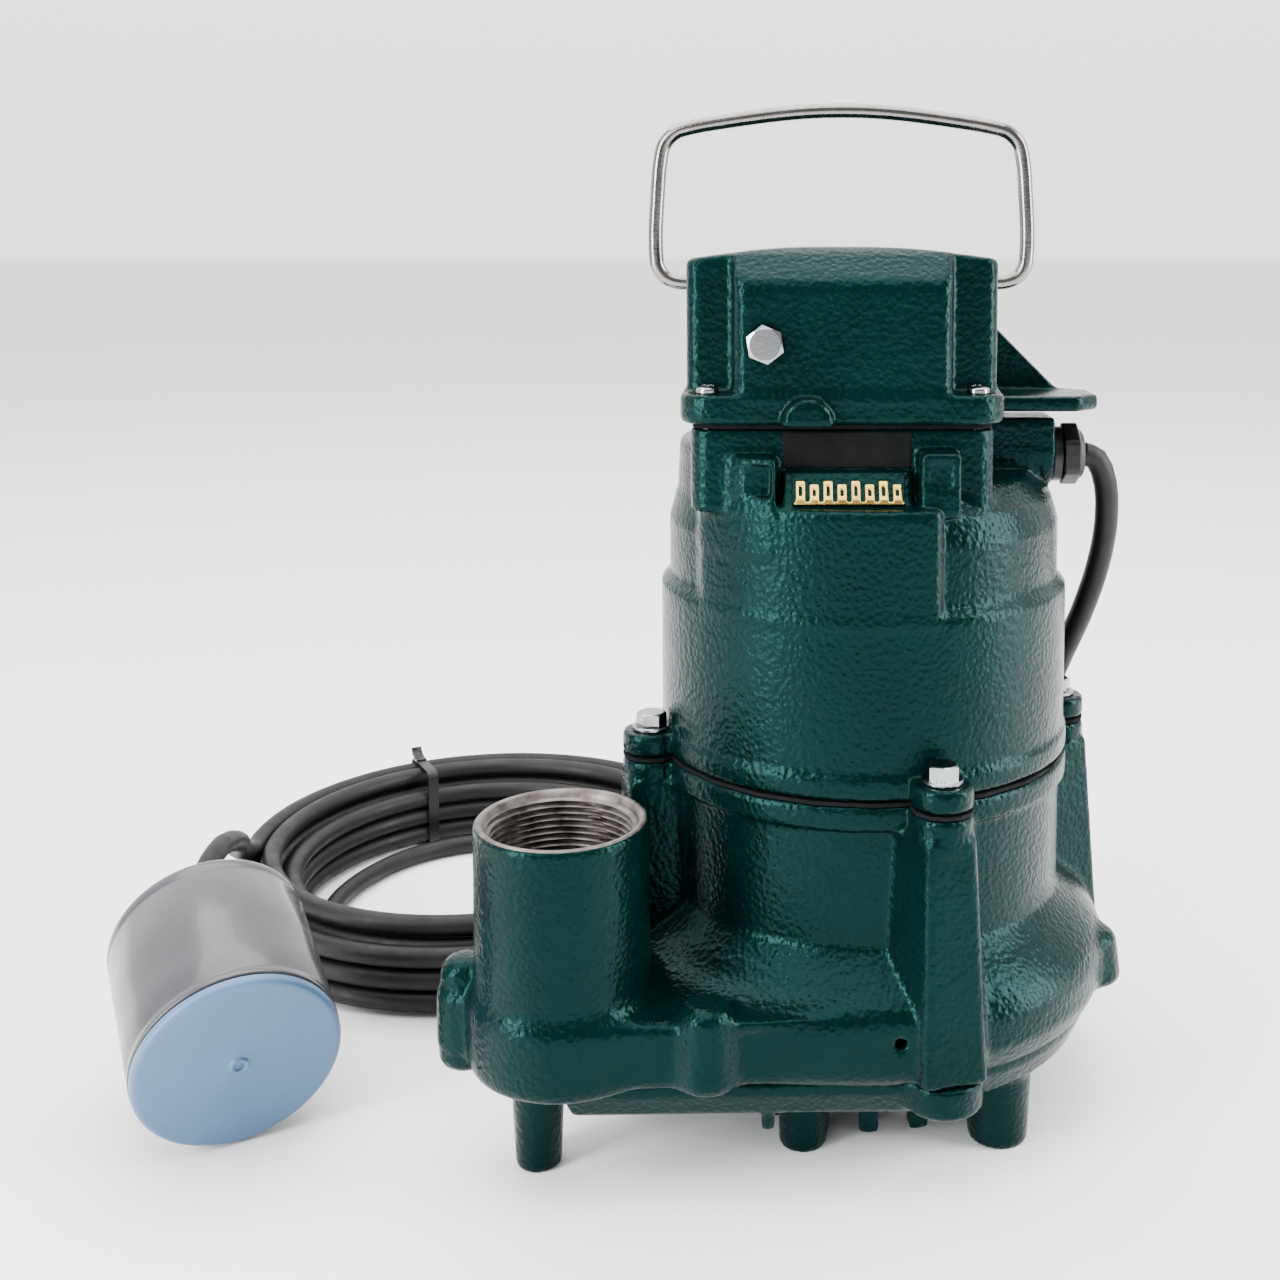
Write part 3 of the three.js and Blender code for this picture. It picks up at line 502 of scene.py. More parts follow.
# ---------------------------------------------------------------- carving castings
class Grid:
    """The points of a regular grid in mm, from low to high."""

    def __init__(self, low, high, step):
        self.low, self.step = np.array(low, float), step
        counts = [int(math.ceil((b - a) / step)) + 1 for a, b in zip(low, high)]
        x, y, z = ((a + step * np.arange(n)).astype(np.float32) for a, n in zip(low, counts))
        self.x, self.y, self.z = x[:, None, None], y[None, :, None], z[None, None, :]
        self.r = np.hypot(self.x, self.y)


def merge(a, b, fillet=0.01):
    """Both solids, with a fillet where they meet."""
    h = np.clip(0.5 + 0.5 * (b - a) / fillet, 0, 1)
    return b + (a - b) * h - fillet * h * (1 - h)


def carve(a, b, fillet=0.01):
    """The first solid without the second, the edge between them rounded by fillet."""
    return -merge(-a, b, fillet)


def meet(a, b, edge):
    """What two solids share, their meeting edge rounded to that radius."""
    a, b = a + edge, b + edge
    return np.minimum(np.maximum(a, b), 0) + np.hypot(np.maximum(a, 0), np.maximum(b, 0)) - edge


def polygon(px, py, points):
    """Signed distance to a closed outline."""
    shape = np.broadcast_shapes(px.shape, py.shape)
    best, inside = np.full(shape, 1e9, np.float32), np.zeros(shape, bool)
    for (ax, ay), (bx, by) in zip(points, [*points[1:], points[0]]):
        ex, ey = bx - ax, by - ay
        along = np.clip(((px - ax) * ex + (py - ay) * ey) / (ex * ex + ey * ey), 0, 1)
        best = np.minimum(best, np.hypot(px - ax - ex * along, py - ay - ey * along))
        if ay != by:
            inside ^= ((ay > py) != (by > py)) & (px < ex * (py - ay) / ey + ax)
    return np.where(inside, -best, best).astype(np.float32)


def inset(points, depth):
    """An outline moved inwards by depth."""
    p = np.array(points, float)
    ahead = np.roll(p, -1, axis=0)
    if (p[:, 0] * ahead[:, 1] - p[:, 1] * ahead[:, 0]).sum() < 0:
        p = p[::-1]
    edge = np.roll(p, -1, axis=0) - p
    edge /= np.linalg.norm(edge, axis=1)[:, None]
    inward = np.column_stack([-edge[:, 1], edge[:, 0]])
    before = np.roll(inward, 1, axis=0)
    turn = np.maximum(0.3, 1 + (inward * before).sum(1))
    return [tuple(q) for q in p + depth * (inward + before) / turn[:, None]]


def outline(px, py, points, edge):
    """Signed distance to an outline whose outer corners are rounded to edge."""
    return polygon(px, py, inset(points, edge)) - edge


def lathe(g, profile, edge=1.0):
    """A profile of (radius, z) pairs turned about the motor axis. Radius -20 stands for the axis."""
    fine = 0.5
    radii = np.arange(0, float(g.r.max()) + 2 * fine, fine, dtype=np.float32)
    table = outline(radii[:, None], g.z[0], profile, edge)
    place = g.r[..., 0] / fine
    index = place.astype(int)
    part = (place - index)[..., None].astype(np.float32)
    return table[index] * (1 - part) + table[index + 1] * part


def slab(g, z0, z1):
    return np.maximum(z0 - g.z, g.z - z1)


def upright(g, plan, z0, z1, edge=1.0):
    return meet(plan, slab(g, z0, z1), edge)


def disc(g, x, y, radius):
    return np.hypot(g.x - x, g.y - y) - radius


def post(g, x, y, radius, z0, z1, edge=1.0):
    """An upright round post; radius may be a pair, at the foot and at the top."""
    if isinstance(radius, tuple):
        radius = radius[0] + (radius[1] - radius[0]) * np.clip((g.z - z0) / (z1 - z0), 0, 1)
    return upright(g, disc(g, x, y, radius), z0, z1, edge)


def oblong(a, b, half_a, half_b, corner):
    """A rectangle with rounded corners about the origin of two coordinates."""
    qa, qb = np.abs(a) - half_a + corner, np.abs(b) - half_b + corner
    return np.hypot(np.maximum(qa, 0), np.maximum(qb, 0)) + np.minimum(np.maximum(qa, qb), 0) - corner


def box(g, x, y, z, corner=1.0):
    """A block with rounded edges between pairs of limits."""
    parts = [np.abs(v - (a + b) / 2) - (b - a) / 2 + corner for v, (a, b) in zip((g.x, g.y, g.z), (x, y, z))]
    outside = np.sqrt(sum(np.maximum(q, 0) ** 2 for q in parts))
    return outside + np.minimum(np.maximum(np.maximum(parts[0], parts[1]), parts[2]), 0) - corner


def rod_x(g, y, z, radius, x0, x1, edge=0.5):
    return meet(np.hypot(g.y - y, g.z - z) - radius, np.maximum(x0 - g.x, g.x - x1), edge)


def rod_y(g, x, z, radius, y0, y1, edge=0.5):
    return meet(np.hypot(g.x - x, g.z - z) - radius, np.maximum(y0 - g.y, g.y - y1), edge)


def skin(name, g, field, place=None):
    """The surface of a field as a smooth mesh."""
    volume = openvdb.FloatGrid(3 * g.step)
    volume.copyFromArray(np.ascontiguousarray(np.clip(field, -3 * g.step, 3 * g.step), dtype=np.float32))
    points, quads = volume.convertToQuads(isovalue=0.0)
    points = g.low + points.astype(float) * g.step
    a, b, c = (points[quads[:, i]] for i in range(3))
    if (a * np.cross(b, c)).sum() < 0:
        quads = quads[:, ::-1]
    return mesh_piece(name, moved(points, place), quads)


# ---------------------------------------------------------------- castings
BOLT_ANGLES = (286, 16, 106, 196)
LEGS = [(-109, -65, 9, 7.5), (-22, -53, 8.5, 8), (44, -49, 11.5, 10), (32, 56, 10, 9), (-56, 33, 10, 9)]
DISCHARGE = (-100.0, -67.0)
SIDE_LUG = (-133, -62)
BOLT_RADIUS = 77.6
BASE_SCREW_RADIUS = 80
GLAND_Z = 226
CAP_X = -9.5
CAP_SCREWS = [(CAP_X + x, y) for x in (-43.8, 43.8) for y in (-50, 50)]
PLUG_X, PLUG_Z = CAP_X - 25.1, 269
HANDLE_X, HANDLE_Z = -8.0, 287


def polar(radius, degrees):
    """The x and y of a place at that radius and angle about the motor axis."""
    return radius * math.cos(math.radians(degrees)), radius * math.sin(math.radians(degrees))


def front_wall(g):
    """Distance in front of the volute's flat tangential wall."""
    return -86.5 + 0.03 * (g.x + 98) - g.y


def outlet_plan(g):
    front = np.maximum(-front_wall(g), g.x - 30)
    plan = carve(g.r - 82, front, 3)
    outlet = outline(g.x, g.y, [(-50, -15), (-110, -44), (-98, -86.5), (26, -82.8), (26, -15)], 3)
    return merge(plan, outlet, 3)


def volute_plan(g):
    face = outline(g.x, g.y, [(-110, -60), (-102, -93), (-60, -90.5), (10, -84), (10, -60)], 3)
    plan = merge(merge(outlet_plan(g), face, 2), disc(g, *DISCHARGE, 28.8), 7)
    arm = oblong(g.x + 116.5, g.y + 62.5, 16.5, 6.5, 2)
    return merge(plan, merge(disc(g, *SIDE_LUG, 9), arm, 4), 4)


def base_casting():
    g = Grid((-148, -102, -3), (94, 94, 42), 1.15)
    plan = outlet_plan(g)
    taper = np.clip((34 - g.z) * 0.45, 0, 4)
    solid = upright(g, plan + taper, 25.5, 38.3, 1.5)
    for angle in BOLT_ANGLES:
        solid = merge(solid, post(g, *polar(BASE_SCREW_RADIUS, angle), 13, 28, 38.3, 1.5), 3)
    for x, y, top, foot in LEGS:
        solid = merge(solid, post(g, x, y, (foot, top), 0, 36, 1.2), 2.5)
    strainer = upright(g, np.abs(g.r - 53) - 3.5, 4, 30, 1.6)
    spacing = math.radians(18)
    swing = np.mod(np.arctan2(g.y, g.x), spacing) - spacing / 2
    across = g.r * np.sin(swing)
    arch = np.minimum(np.hypot(across, g.z - 10) - 5.2, np.maximum(np.abs(across) - 5.2, g.z - 10))
    strainer = carve(strainer, arch, 2)
    solid = merge(solid, strainer, 2.5)
    solid = merge(solid, post(g, -33.6, -78, 2.2, 19.5, 27, 1.2), 1.5)
    solid = carve(solid, post(g, 0, 0, (30, 26), -4, 42, 0.5), 2)
    for angle in BOLT_ANGLES:
        solid = carve(solid, post(g, *polar(BASE_SCREW_RADIUS, angle), 2.9, 20, 42, 0.2), 0.3)
        solid = carve(solid, post(g, *polar(BASE_SCREW_RADIUS, angle), 5.9, 18, 28, 0.2), 0.5)
    return finished(skin("base_casting", g, solid), "pump", "green_enamel", ["base_plate"])


def column(g, angle, top):
    """A square-faced bolt column that widens and leans out towards its foot."""
    a = math.radians(angle)
    out = g.x * math.cos(a) + g.y * math.sin(a)
    side = -g.x * math.sin(a) + g.y * math.cos(a)
    fall = np.clip((top - g.z) / 84, 0, 1)
    half = 8.0 + 2.6 * fall
    reach = 86.8 + 5.8 * fall
    flank = (np.abs(side) - half - 0.28 * np.maximum(reach - out, 0)) * 0.96
    face = meet(meet(flank, out - reach, 1.8), 52 - out, 1)
    return upright(g, face, 38.6, top, 1.2)


def pump_casting():
    g = Grid((-148, -102, 30), (98, 94, 126), 1.2)
    foot = 38.6
    shell = lathe(g, [
        (-20, foot), (80, foot), (86, 46), (86, 54), (78, 67), (70.5, 75), (70.5, 122.6), (-20, 122.6),
    ], 2)
    shell = carve(shell, np.maximum(np.maximum(-front_wall(g), g.x - 30), g.z - 75), 2)
    plan = volute_plan(g)
    solid = merge(shell, upright(g, plan, foot, 60, 3.5), 13)
    lip = np.maximum(np.maximum(plan - 0.9, g.x - 12), -g.x - 46)
    solid = merge(solid, upright(g, lip, 57.2, 60.4, 0.9), 0.8)
    solid = merge(solid, post(g, *DISCHARGE, (28.8, 28), foot, 117, 1.3), 7)
    solid = merge(solid, post(g, *SIDE_LUG, (9, 7.5), 32, 69, 5), 2)
    solid = merge(solid, box(g, (-133, -118), (-67, -57), (foot, 62), 3), 4)
    solid = merge(solid, post(g, -52.6, -86, (10.5, 8.5), foot, 65.5, 4), 3.5)
    solid = merge(solid, post(g, *polar(83.5, -13), (10.5, 8), 40, 59, 4), 3)
    rim = upright(g, np.maximum(g.r - 73, 66 - g.r), 114.6, 122.6, 1)
    solid = merge(solid, rim, 1.5)
    for angle in BOLT_ANGLES:
        solid = merge(solid, column(g, angle, 116), 2.5)
        solid = merge(solid, post(g, *polar(BOLT_RADIUS, angle), 10, 111, 122.6, 1.2), 1.5)
    for inner, z0, z1 in ((64, 75, 130), (36, 69, 76), (60, 30, 70)):
        solid = carve(solid, upright(g, g.r - inner, z0, z1, 0.3), 0.4)
    channel = [(-95, -79), (-10, -64), (-10, -30), (-50, -30), (-105, -52)]
    solid = carve(solid, upright(g, outline(g.x, g.y, channel, 2), 44, 57, 2), 0.5)
    solid = carve(solid, post(g, *DISCHARGE, 22, 44, 90, 1), 0.5)
    solid = carve(solid, post(g, *DISCHARGE, 25.1, 89, 120, 0.1), 0.3)
    solid = carve(solid, rod_y(g, 8, 52, 1.9, -90, -58), 0.4)
    for angle in BOLT_ANGLES:
        solid = carve(solid, post(g, *polar(BOLT_RADIUS, angle), 3.4, 100, 126, 0.2), 0.3)
        solid = carve(solid, post(g, *polar(BASE_SCREW_RADIUS, angle), 2.9, 30, 54, 0.2), 0.3)
    return finished(skin("pump_casting", g, solid), "pump", "green_enamel", ["pump_housing"])


def motor_casting():
    g = Grid((-92, -92, 122), (92, 92, 244), 1.2)
    foot = 124.4
    solid = lathe(g, [
        (-20, foot), (73, foot), (73, 131.4), (72, 132.6), (72, 182), (69, 185.6), (69, 205), (66.5, 213.5),
        (58, 221.5), (-20, 222),
    ], 1.6)
    for angle in BOLT_ANGLES:
        solid = merge(solid, post(g, *polar(BOLT_RADIUS, angle), 10, foot, 132, 1.2), 1.5)
    round_front = np.maximum(g.r - 72, g.y + 30)
    pad = meet(round_front, np.maximum(-57 - g.x, g.x - 21.6), 2.5)
    solid = merge(solid, upright(g, pad, 178, 217.5, 2.5), 1.2)
    pier = meet(round_front, np.maximum(-57 - g.x, g.x + 31), 2)
    solid = merge(solid, upright(g, pier, 200, 233, 2.2), 1.5)
    side = meet(g.r - 66.8 + 0.05 * np.clip(g.z - 200, 0, 40), np.maximum(g.x + 31, g.y - 22), 2)
    solid = merge(solid, upright(g, side, 200, 233, 2.6), 1.5)
    neck = upright(g, oblong(g.x - CAP_X, g.y, 49.4, 54, 7), 214, 241, 0.8)
    solid = merge(solid, neck, 2)
    solid = merge(solid, box(g, (14.5, 27.5), (-66, -46), (214, 235), 1.5), 1)
    seat = outline(g.y, g.z, [(-66, 212), (-65, 217), (-57, 228), (-48, 228), (-48, 212)], 0.8)
    solid = merge(solid, meet(seat, np.maximum(-29 - g.x, g.x - 12.5), 1), 1)
    boss = rod_x(g, 0, GLAND_Z, 11, 36, 67, 1.5)
    boss = merge(boss, box(g, (37, 67), (-11, 11), (GLAND_Z, 240), 1.5), 1)
    solid = merge(solid, boss, 2)
    solid = carve(solid, box(g, (-43.5, -32.5), (-80, -59), (220.3, 230.3), 1), 1)
    solid = carve(solid, box(g, (17.2, 24.8), (-68, -64.9), (223.5, 232.4), 0.8), 0.5)
    cavity = lathe(g, [(-20, 110), (63, 110), (63, 204), (58, 212), (52, 214.5), (-20, 214.5)], 1.5)
    bearing_boss = lathe(g, [(-20, 207), (21, 207), (23, 218), (-20, 218)], 0.5)
    solid = carve(solid, carve(cavity, bearing_boss, 0.5), 0.5)
    solid = carve(solid, upright(g, g.r - 16.1, 206, 222.3, 0.2), 0.3)
    solid = carve(solid, box(g, (20, 28), (-32, 32), (217.5, 250), 2), 0.6)
    solid = carve(solid, post(g, 26, 18, 5, 210, 220, 0.2), 0.3)
    solid = carve(solid, rod_x(g, 0, GLAND_Z, 7.9, 27, 72), 0.4)
    for place in CAP_SCREWS:
        solid = carve(solid, post(g, *place, 2.4, 228, 250, 0.2), 0.3)
    for angle in BOLT_ANGLES:
        solid = carve(solid, post(g, *polar(BOLT_RADIUS, angle), 3.4, 120, 134, 0.2), 0.3)
    return finished(skin("motor_casting", g, solid), "pump", "green_enamel", ["motor_housing"])


def cap_casting():
    g = Grid((-70, -66, 240), (88, 62, 302), 0.95)
    foot, x = 242.8, g.x - CAP_X
    body = merge(
        upright(g, oblong(x, g.y, 51, 46, 5), 250, 299, 2.5),
        upright(g, oblong(x, g.y, 35.3, 57, 5), 250, 299, 2), 3)
    front_slope = (np.abs(g.y) - 45.5) * 0.694 + (g.z - 299) * 0.72
    side_slope = (np.abs(x) - 28) * 0.139 + (g.z - 299) * 0.99
    body = meet(body, np.maximum(front_slope, side_slope), 2)
    flange = upright(g, oblong(x, g.y, 52.9, 57.5, 12), foot, 252.5, 1.8)
    solid = merge(flange, body, 2.5)
    arch = meet(rod_y(g, -21, 243.6, 8.4, -61.8, -50, 2.6), foot - g.z, 0.4)
    solid = merge(solid, arch, 1)
    shelf = [(32, -17), (74, -17), (82, -9), (82, 9), (74, 17), (32, 17)]
    solid = merge(solid, upright(g, outline(g.x, g.y, shelf, 5), foot, 248.2, 1.6), 1.5)
    gusset = meet(outline(g.x, g.z, [(38, 244), (75, 244), (41, 278)], 0.8), np.abs(g.y - 10.5) - 2.5, 0.8)
    solid = merge(solid, gusset, 2)
    solid = carve(solid, upright(g, oblong(x, g.y, 45, 40, 3), 230, 293, 2), 0.5)
    solid = carve(solid, upright(g, oblong(x, g.y, 29.3, 48, 3), 230, 293, 2), 0.5)
    solid = carve(solid, rod_x(g, 0, HANDLE_Z, 3.1, -80, -51), 0.8)
    solid = carve(solid, rod_x(g, 0, HANDLE_Z, 3.1, 32, 62), 0.8)
    solid = carve(solid, rod_y(g, PLUG_X, PLUG_Z, 4.8, -70, -42), 0.4)
    for place in CAP_SCREWS:
        solid = carve(solid, post(g, *place, 2.4, 240, 256, 0.2), 0.3)
    return finished(skin("cap_casting", g, solid), "pump", "green_enamel", ["top_cap"])


def discharge_lining():
    """The machined ring and the tapered pipe thread inside the outlet."""
    pitch, top, bottom, sides = 2.209, 115.2, 89.6, 96
    rows = int((top - bottom) / pitch * 10)
    points = []
    for row in range(rows + 1):
        z = bottom + (top - bottom) * row / rows
        for j in range(sides):
            angle = 2 * math.pi * j / sides
            turn = (z / pitch - j / sides) % 1
            crest = 1 - abs(2 * turn - 1)
            fade = min(1, (top - z) / 1.2, (z - bottom) / 1.2)
            r = 24.4 - 1.5 * max(0.0, min(1.0, 1.25 * crest - 0.12)) * max(0, fade) - 0.012 * (top - z)
            points.append((r * math.cos(angle), r * math.sin(angle), z))
    for r, z in ((25.2, 116.6), (25.9, 117.12), (27.1, 117.12), (27.35, 116.9), (27.3, 116.2), (26.5, 116.2),
                 (25.6, 88.9), (24.0, 88.9)):
        points.extend((r * math.cos(2 * math.pi * j / sides), r * math.sin(2 * math.pi * j / sides), z)
                      for j in range(sides))
    rings = rows + 9
    faces = []
    for i in range(rings):
        a, b = i * sides, (i + 1) % rings * sides
        for j in range(sides):
            k = (j + 1) % sides
            faces.append((a + j, b + j, b + k, a + k))
    points = np.array(points) + np.array((*DISCHARGE, 0))
    made = mesh_piece("discharge_thread", points, faces, 50)
    return finished(made, "pump", "bare_iron")


# ---------------------------------------------------------------- small pieces on the castings
def make_fasteners():
    for i, angle in enumerate(BOLT_ANGLES, 1):
        turn = Matrix.Rotation(math.radians(angle + 17), 4, "Z")
        place = Matrix.Translation((*polar(BOLT_RADIUS, angle), 132.3)) @ turn
        washer = turned([(0, -0.1), (6.5, -0.1), (6.7, 0.15), (6.7, 0.9), (6.3, 1.2), (0, 1.2)], 48, place)
        head = hexagon(9.2, 4.7, place=place @ Matrix.Translation((0, 0, 1.0)))
        shank = turned([(0, -31), (2.9, -31), (3, -30), (3, 0), (0, 0)], 24, place)
        made = mesh_piece(f"housing_bolt_head_{i}", *combined(washer, head, shank), 30)
        finished(made, "pump", "zinc_steel", [f"housing_bolt_{i}"])

        turn = Matrix.Rotation(math.pi, 4, "X")
        place = Matrix.Translation((*polar(BASE_SCREW_RADIUS, angle), 27.7)) @ turn
        head = hexagon(8.4, 4.0, place=place)
        shank = turned([(0, -24), (2.3, -24), (2.5, -23), (2.5, 0.5), (0, 0.5)], 24, place)
        made = mesh_piece(f"base_screw_head_{i}", *combined(head, shank), 30)
        finished(made, "pump", "zinc_steel", [f"base_screw_{i}"])

    g = Grid((-4.4, -4.4, -1), (4.4, 4.4, 3.6), 0.16)
    dome = np.sqrt(g.x ** 2 + g.y ** 2 + (g.z + 3.6) ** 2) - 6.35
    head = meet(meet(g.r - 3.7, dome, 0.35), -g.z, 0.15)
    for a, b in ((g.x, g.y), (g.y, g.x)):
        depth = 1.1 + 0.42 * np.abs(a)
        slot = np.maximum(np.maximum(np.abs(b) - 0.5, np.abs(a) - 2.0), depth - g.z)
        head = carve(head, slot, 0.15)
    for number, (x, y) in enumerate(CAP_SCREWS, 1):
        place = Matrix.Translation((x, y, 252.6)) @ Matrix.Rotation(0.5 + number, 4, "Z")
        made = skin(f"cap_screw_head_{number}", g, head, place)
        finished(made, "pump", "zinc_steel", [f"cap_screw_{number}"])
        shank = turned([(0, -23.5), (1.6, -23.5), (2, -22.6), (2, 0.4), (0, 0.4)], 24, place)
        made = mesh_piece(f"cap_screw_shank_{number}", *shank, 40)
        finished(made, "pump", "zinc_steel")

    place = Matrix.Translation((PLUG_X, -57.3, PLUG_Z)) @ Matrix.Rotation(math.pi / 2, 4, "X")
    head = hexagon(11.0, 5.0, 0.9, place=place @ Matrix.Rotation(math.radians(8), 4, "Z"))
    shank = turned([(0, -8), (3.9, -8), (4.4, -7.4), (4.4, 0.4), (0, 0.4)], 36, place)
    made = mesh_piece("hex_plug_head", *combined(head, shank), 30)
    finished(made, "pump", "zinc_steel", ["hex_plug"])


def make_name_plate():
    """A blank plate on its sloping seat, in the green enamel: plain stamped brass bars over a strip along
    its foot.
    """
    lean = math.atan2(8, 11)
    place = Matrix.Translation((-8, -65.2, 217.2)) @ Matrix.Rotation(-lean, 4, "X")
    g = Grid((-20, -2.6, -0.6), (20, 1.4, 14), 0.3)
    plate = box(g, (-18, 18), (-0.9, 0.1), (1.2, 12.6), 0.35)
    made = skin("name_plate_blank", g, plate, place)
    finished(made, "pump", "green_enamel", ["name_plate"])
    bars = np.full_like(g.x, 10.0)
    for i in range(8):
        middle = -15.4 + 4.4 * i
        bar = box(g, (middle - 1.5, middle + 1.5), (-1.5, -0.4), (2.0, 9.4 - 1.2 * (i % 2)), 0.3)
        hole = box(g, (middle - 0.5, middle + 0.5), (-2.0, 0.0), (4.0, 7.4 - 1.2 * (i % 2)), 0.2)
        bars = merge(bars, carve(bar, hole, 0.1), 0.05)
    bars = merge(bars, box(g, (-17.4, 17.4), (-1.3, -0.4), (1.2, 2.1), 0.2), 0.1)
    made = skin("name_plate_bars", g, bars, place)
    finished(made, "pump", "brass")
    # Painted shade: a dark sheet on the neck's front between the lugs, standing in for the shade that the
    # cap flange casts on the wall above the plate.
    g = Grid((-31, -56, 227), (15, -52, 242), 0.4)
    field = box(g, (-29, 12.5), (-54.6, -53.6), (228.6, 240.4), 0.3)
    finished(skin("flange_shade_sheet", g, field), "pump", "gasket_rubber")


def make_handle():
    # One half of the bent wire, from inside the cap to the middle of its grip.
    half = [
        [46, 0], [55.5, 0], [59, 0.4], [62.4, 2], [64.9, 5.6], [65.5, 10], [65.6, 18], [64.9, 30],
        [63.9, 42], [62.3, 48.5], [58.4, 52.6], [52.6, 54.4], [41, 56.4], [21.4, 59], [7.8, 60],
    ]
    route = [[HANDLE_X - x, 0, z + HANDLE_Z] for x, z in half]
    route += [[HANDLE_X + x, 0, z + HANDLE_Z] for x, z in reversed(half)]
    wire = sweep(smooth_route(route, 1.6), round_section(2.6, 28), up=(0, 1, 0))
    made = mesh_piece("handle_wire", *wire, 60)
    finished(made, "handle", "stainless_wire", ["carry_handle"])


def make_gland():
    along = Matrix.Translation((55.3, 0, GLAND_Z)) @ Matrix.Rotation(math.pi / 2, 4, "Y")
    body = turned([
        (4.65, 0), (7.5, 0), (7.5, 11.5), (9.4, 11.5), (9.8, 11.9), (9.8, 14.6), (9.4, 15), (4.65, 15),
    ], 64, along)
    finished(mesh_piece("gland_ring", *body, 35), "pump", "black_plastic", ["gland_body"])
    along = Matrix.Translation((70.6, 0, GLAND_Z)) @ Matrix.Rotation(math.pi / 2, 4, "Y")
    g = Grid((-13, -13, -1), (13, 13, 9.5), 0.4)
    six = np.maximum.reduce([
        np.abs(g.x * math.cos(a) + g.y * math.sin(a)) - 9.9 for a in np.radians((30, 90, 150))
    ])
    nut = meet(meet(six, np.abs(g.z - 2.9) - 2.9, 0.5), g.r - 11.1, 0.5)
    nut = merge(nut, upright(g, g.r - (9.7 - 0.35 * np.clip(g.z - 4, 0, 5)), 2, 7.8, 1.4), 0.6)
    ribs = upright(g, g.r - 9.9, 0.2, 1.2, 0.3)
    nut = merge(nut, ribs, 0.3)
    nut = carve(nut, np.maximum(g.r - 4.65, np.abs(g.z - 4) - 9), 0.8)
    finished(skin("gland_nut_hex", g, nut, along), "pump", "black_plastic", ["gland_nut"])


# ---------------------------------------------------------------- float
FLOAT_PLACE = (
    Matrix.Translation((-207, -65, 33.7 * math.cos(math.radians(16.5)) + 0.2))
    @ Matrix.Rotation(math.radians(29), 4, "Z")
    @ Matrix.Rotation(math.radians(16.5 - 90), 4, "X")
)


def arc(centre, radius, start, end, steps=6):
    return [(centre[0] + radius * math.cos(math.radians(a)), centre[1] + radius * math.sin(math.radians(a)))
            for a in np.linspace(start, end, steps)]


def make_float():
    shell = [
        (31.1, 4.1), (32.6, 4.1), *arc((33.1, 4.7), 0.6, -90, 0, 4), (33.7, 6.2), (33.55, 6.5), (33.55, 8),
        (33.7, 8.4), (33.7, 20), (33.7, 36), (33.7, 58.4), (33.55, 58.7), (33.55, 60.0), (33.7, 60.3),
        *arc((30.2, 62.5), 3.5, 0, 90, 8), (24, 66), (5.3, 66), (5.3, 63), (28.5, 63), (31.1, 60.5),
    ]
    made = mesh_piece("float_shell_body", *turned(shell, 128, FLOAT_PLACE), 35)
    finished(made, "float", "float_shell", ["float_body"])
    end = [
        (0, 0.25), (1.2, 0.25), (1.5, 0.1), (1.7, -0.55), (2.0, -0.8), (2.7, -0.8), (3.0, -0.5), (3.3, 0.1),
        (4.0, 0.28), (14, 0.28), (27.5, 0.2), (30.2, 0.05), (31.2, 0.0), *arc((31.5, 1.9), 1.9, -90, -8, 6),
        (33.45, 3.3), (33.1, 3.7), (30.8, 3.7), (30.8, 8), (28.1, 8), (28.1, 4), (0, 4),
    ]
    made = mesh_piece("float_end_cap", *turned(end, 128, FLOAT_PLACE), 40)
    finished(made, "float", "float_end", ["float_cap"])
    grip = [
        (0, 59.6), (8, 59.6), (8, 62.7), (5, 62.7), (5, 66.3), (8.6, 66.3), (8.9, 66.8), (8.6, 67.8),
        (7.9, 68.3), (7.9, 69.4), (8.2, 69.9), (7.9, 70.6), (7.2, 71), (7.2, 72), (7.4, 72.5), (7.1, 73.2),
        (6.6, 73.6),
        (6.5, 74.6), (6.6, 75.1), (6.3, 75.8), (5.9, 76.2), (5.7, 79.9), (4.9, 79.9), (1.5, 78.6), (0, 78.6),
    ]
    made = mesh_piece("float_cable_grip", *turned(grip, 64, FLOAT_PLACE), 40)
    finished(made, "float", "black_plastic", ["float_gland"])


def make_boot(route):
    """The soft sleeve that bends with the cable where it meets the float."""
    axis = np.array(FLOAT_PLACE.to_3x3() @ Vector((0, 0, 1)))
    pivot = np.array(FLOAT_PLACE @ Vector((0, 0, 83.5)))
    start = [pivot - axis * (4.2 - 0.7 * i) for i in range(6)]
    after = smooth_route(route[:3], 0.8)
    ahead = [p for p in after if (p - pivot) @ axis > 0.6][:14]
    path = np.array([*start, *ahead])
    radii = np.linspace(5.6, 4.75, len(path))
    points, faces = sweep(path, round_section(1.0, 32), radii)
    made = mesh_piece("float_cable_boot", points, faces, 50)
    made.data.materials.append(LOOKS["gasket_rubber"])
    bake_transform(made)


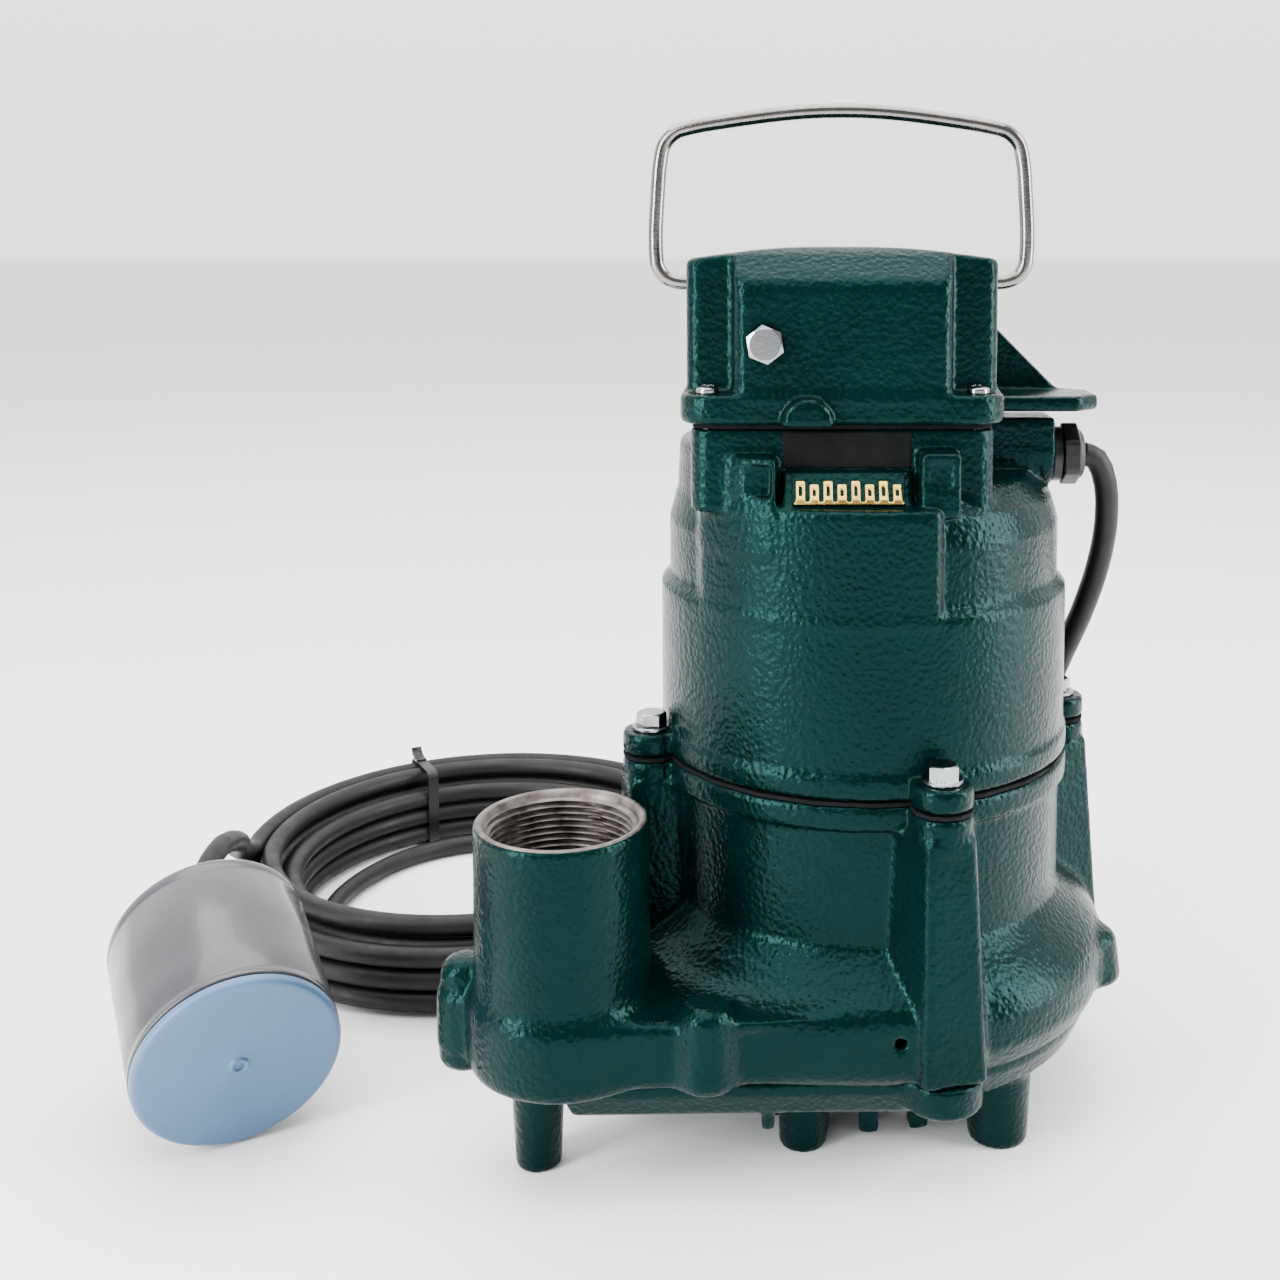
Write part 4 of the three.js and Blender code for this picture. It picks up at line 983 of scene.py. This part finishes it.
# ---------------------------------------------------------------- tie and plugs
def make_tie():
    angle = math.radians(120)
    inner, outer, low, high = 78.3, 106.3, 0.55, 37.4
    corner, route = 3.5, []
    corners = [(outer - corner, low + corner, -90), (outer - corner, high - corner, 0),
               (inner + corner, high - corner, 90), (inner + corner, low + corner, 180)]
    for r, z, start in corners:
        for step in range(7):
            a = math.radians(start + 15 * step)
            route.append((r + corner * math.cos(a), z + corner * math.sin(a)))
    turn = np.array([math.cos(angle), math.sin(angle), 0])
    path = np.array([np.array([*COIL, z]) + r * turn for r, z in route])
    across = (-math.sin(angle), math.cos(angle), 0)
    strap = [(-0.5, -2.5), (0.35, -2.5), (0.5, -2.3), (0.5, 2.3), (0.35, 2.5), (-0.5, 2.5)]
    loop = sweep(path, strap, closed=True, up=across)
    tail_route = [
        (outer - 9, high + 0.6), (outer - 5, high + 1.2), (outer - 1.5, high + 2.6), (outer, high + 5),
    ]
    tail_path = smooth_route([np.array([*COIL, z]) + r * turn for r, z in tail_route], 1.2)
    tail = sweep(tail_path, strap, up=across)
    made = mesh_piece("tie_strap", *combined(loop, tail), 40)
    finished(made, "pump", "black_plastic", ["coil_tie"])


def make_plug(name, x, y, degrees, node):
    place = Matrix.Translation((x, y, 10.7)) @ Matrix.Rotation(math.radians(degrees), 4, "Z")
    g = Grid((-2, -15, -12.5), (44.5, 15, 12.5), 0.55)
    across = np.hypot(g.y, g.z)
    neck_r = 5.7 + 2.9 * np.clip(g.x / 14, 0, 1)
    grooves = 0.75 * np.clip(np.sin(g.x * 2 * math.pi / 3.2) * 1.6, 0, 1) * (g.x < 12)
    neck = meet(across - neck_r + grooves, np.maximum(0.1 - g.x, g.x - 17), 0.5)
    swell = np.clip((g.x - 10) / 10, 0, 1)
    swell = swell * swell * (3 - 2 * swell)
    grip = oblong(g.y, g.z, 9.6 + 2.9 * swell, 8.0 + 2.5 * swell, 6)
    grip = meet(grip, np.maximum(11.5 - g.x, g.x - 42), 2)
    for side in (-1, 1):
        for x0 in (22.5, 26.5, 30.5, 34.5):
            groove = np.maximum(np.abs(g.x - x0) - 0.9, np.abs(g.z) - 6)
            groove = meet(np.abs(g.y - side * 13.2) - 1.5, groove, 0.5)
            grip = carve(grip, groove, 0.6)
    solid = merge(neck, grip, 2.5)
    solid = carve(solid, np.maximum(across - 4.4, g.x - 6), 0.3)
    made = skin(name, g, solid, place)
    finished(made, "pump", "black_plastic", [node])
    return made


# ---------------------------------------------------------------- the rest
INNER_LOOKS = {
    "seal_plate": "machined_iron", "impeller": "impeller_plastic", "impeller_nut": "zinc_steel",
    "seal_seat": "seal_ceramic", "seal_head": "gasket_rubber", "seal_spring": "stainless_wire",
    "lower_bearing_inner_race": "bearing_steel", "lower_bearing_outer_race": "bearing_steel",
    "lower_bearing_cage": "cage_bronze", "upper_bearing_inner_race": "bearing_steel",
    "upper_bearing_outer_race": "bearing_steel", "upper_bearing_cage": "cage_bronze",
    "shaft": "bearing_steel", "rotor_core": "lamination_steel", "stator_core": "lamination_steel",
    "lower_winding": "winding_copper", "upper_winding": "winding_copper",
    "thermal_protector": "black_plastic", "motor_gasket": "gasket_rubber", "cap_gasket": "gasket_rubber",
    "ball_track": "black_plastic", "float_switch": "black_plastic", "float_ball": "bearing_steel",
    "power_plug_pins": "brass", "float_plug_pins": "brass",
}


def paint_frame():
    """Gives the frame's pieces that nothing replaces their looks."""
    for name, look in INNER_LOOKS.items():
        slots = NODES[name].data.materials
        slots.clear()
        slots.append(LOOKS[look])


def make_floor():
    look = Look("pale_floor", Base_Color=(0.9, 0.9, 0.9, 1), Roughness=0.6)
    look.rough(look.span(look.noise(4, 2), 0.55, 0.65))
    mesh = bpy.data.meshes.new("floor")
    mesh.from_pydata([(-30, -30, 0), (30, -30, 0), (30, 30, 0), (-30, 30, 0)], [], [(0, 1, 2, 3)])
    mesh.materials.append(look.material)
    floor = bpy.data.objects.new("floor", mesh)
    bpy.context.scene.collection.objects.link(floor)


make_camera()
make_lights()
make_looks()
power_cord, float_cord = make_cords()
make_floor()
base_casting()
pump_casting()
motor_casting()
cap_casting()
discharge_lining()
make_fasteners()
make_name_plate()
make_handle()
make_gland()
make_float()
make_boot(FLOAT_LEAD)
make_tie()
power_plug = make_plug("power_plug_grip", 7.6, 175.6, -21, "power_plug")
float_plug = make_plug("float_plug_grip", 12.6, 133.4, -17, "float_plug")
paint_frame()
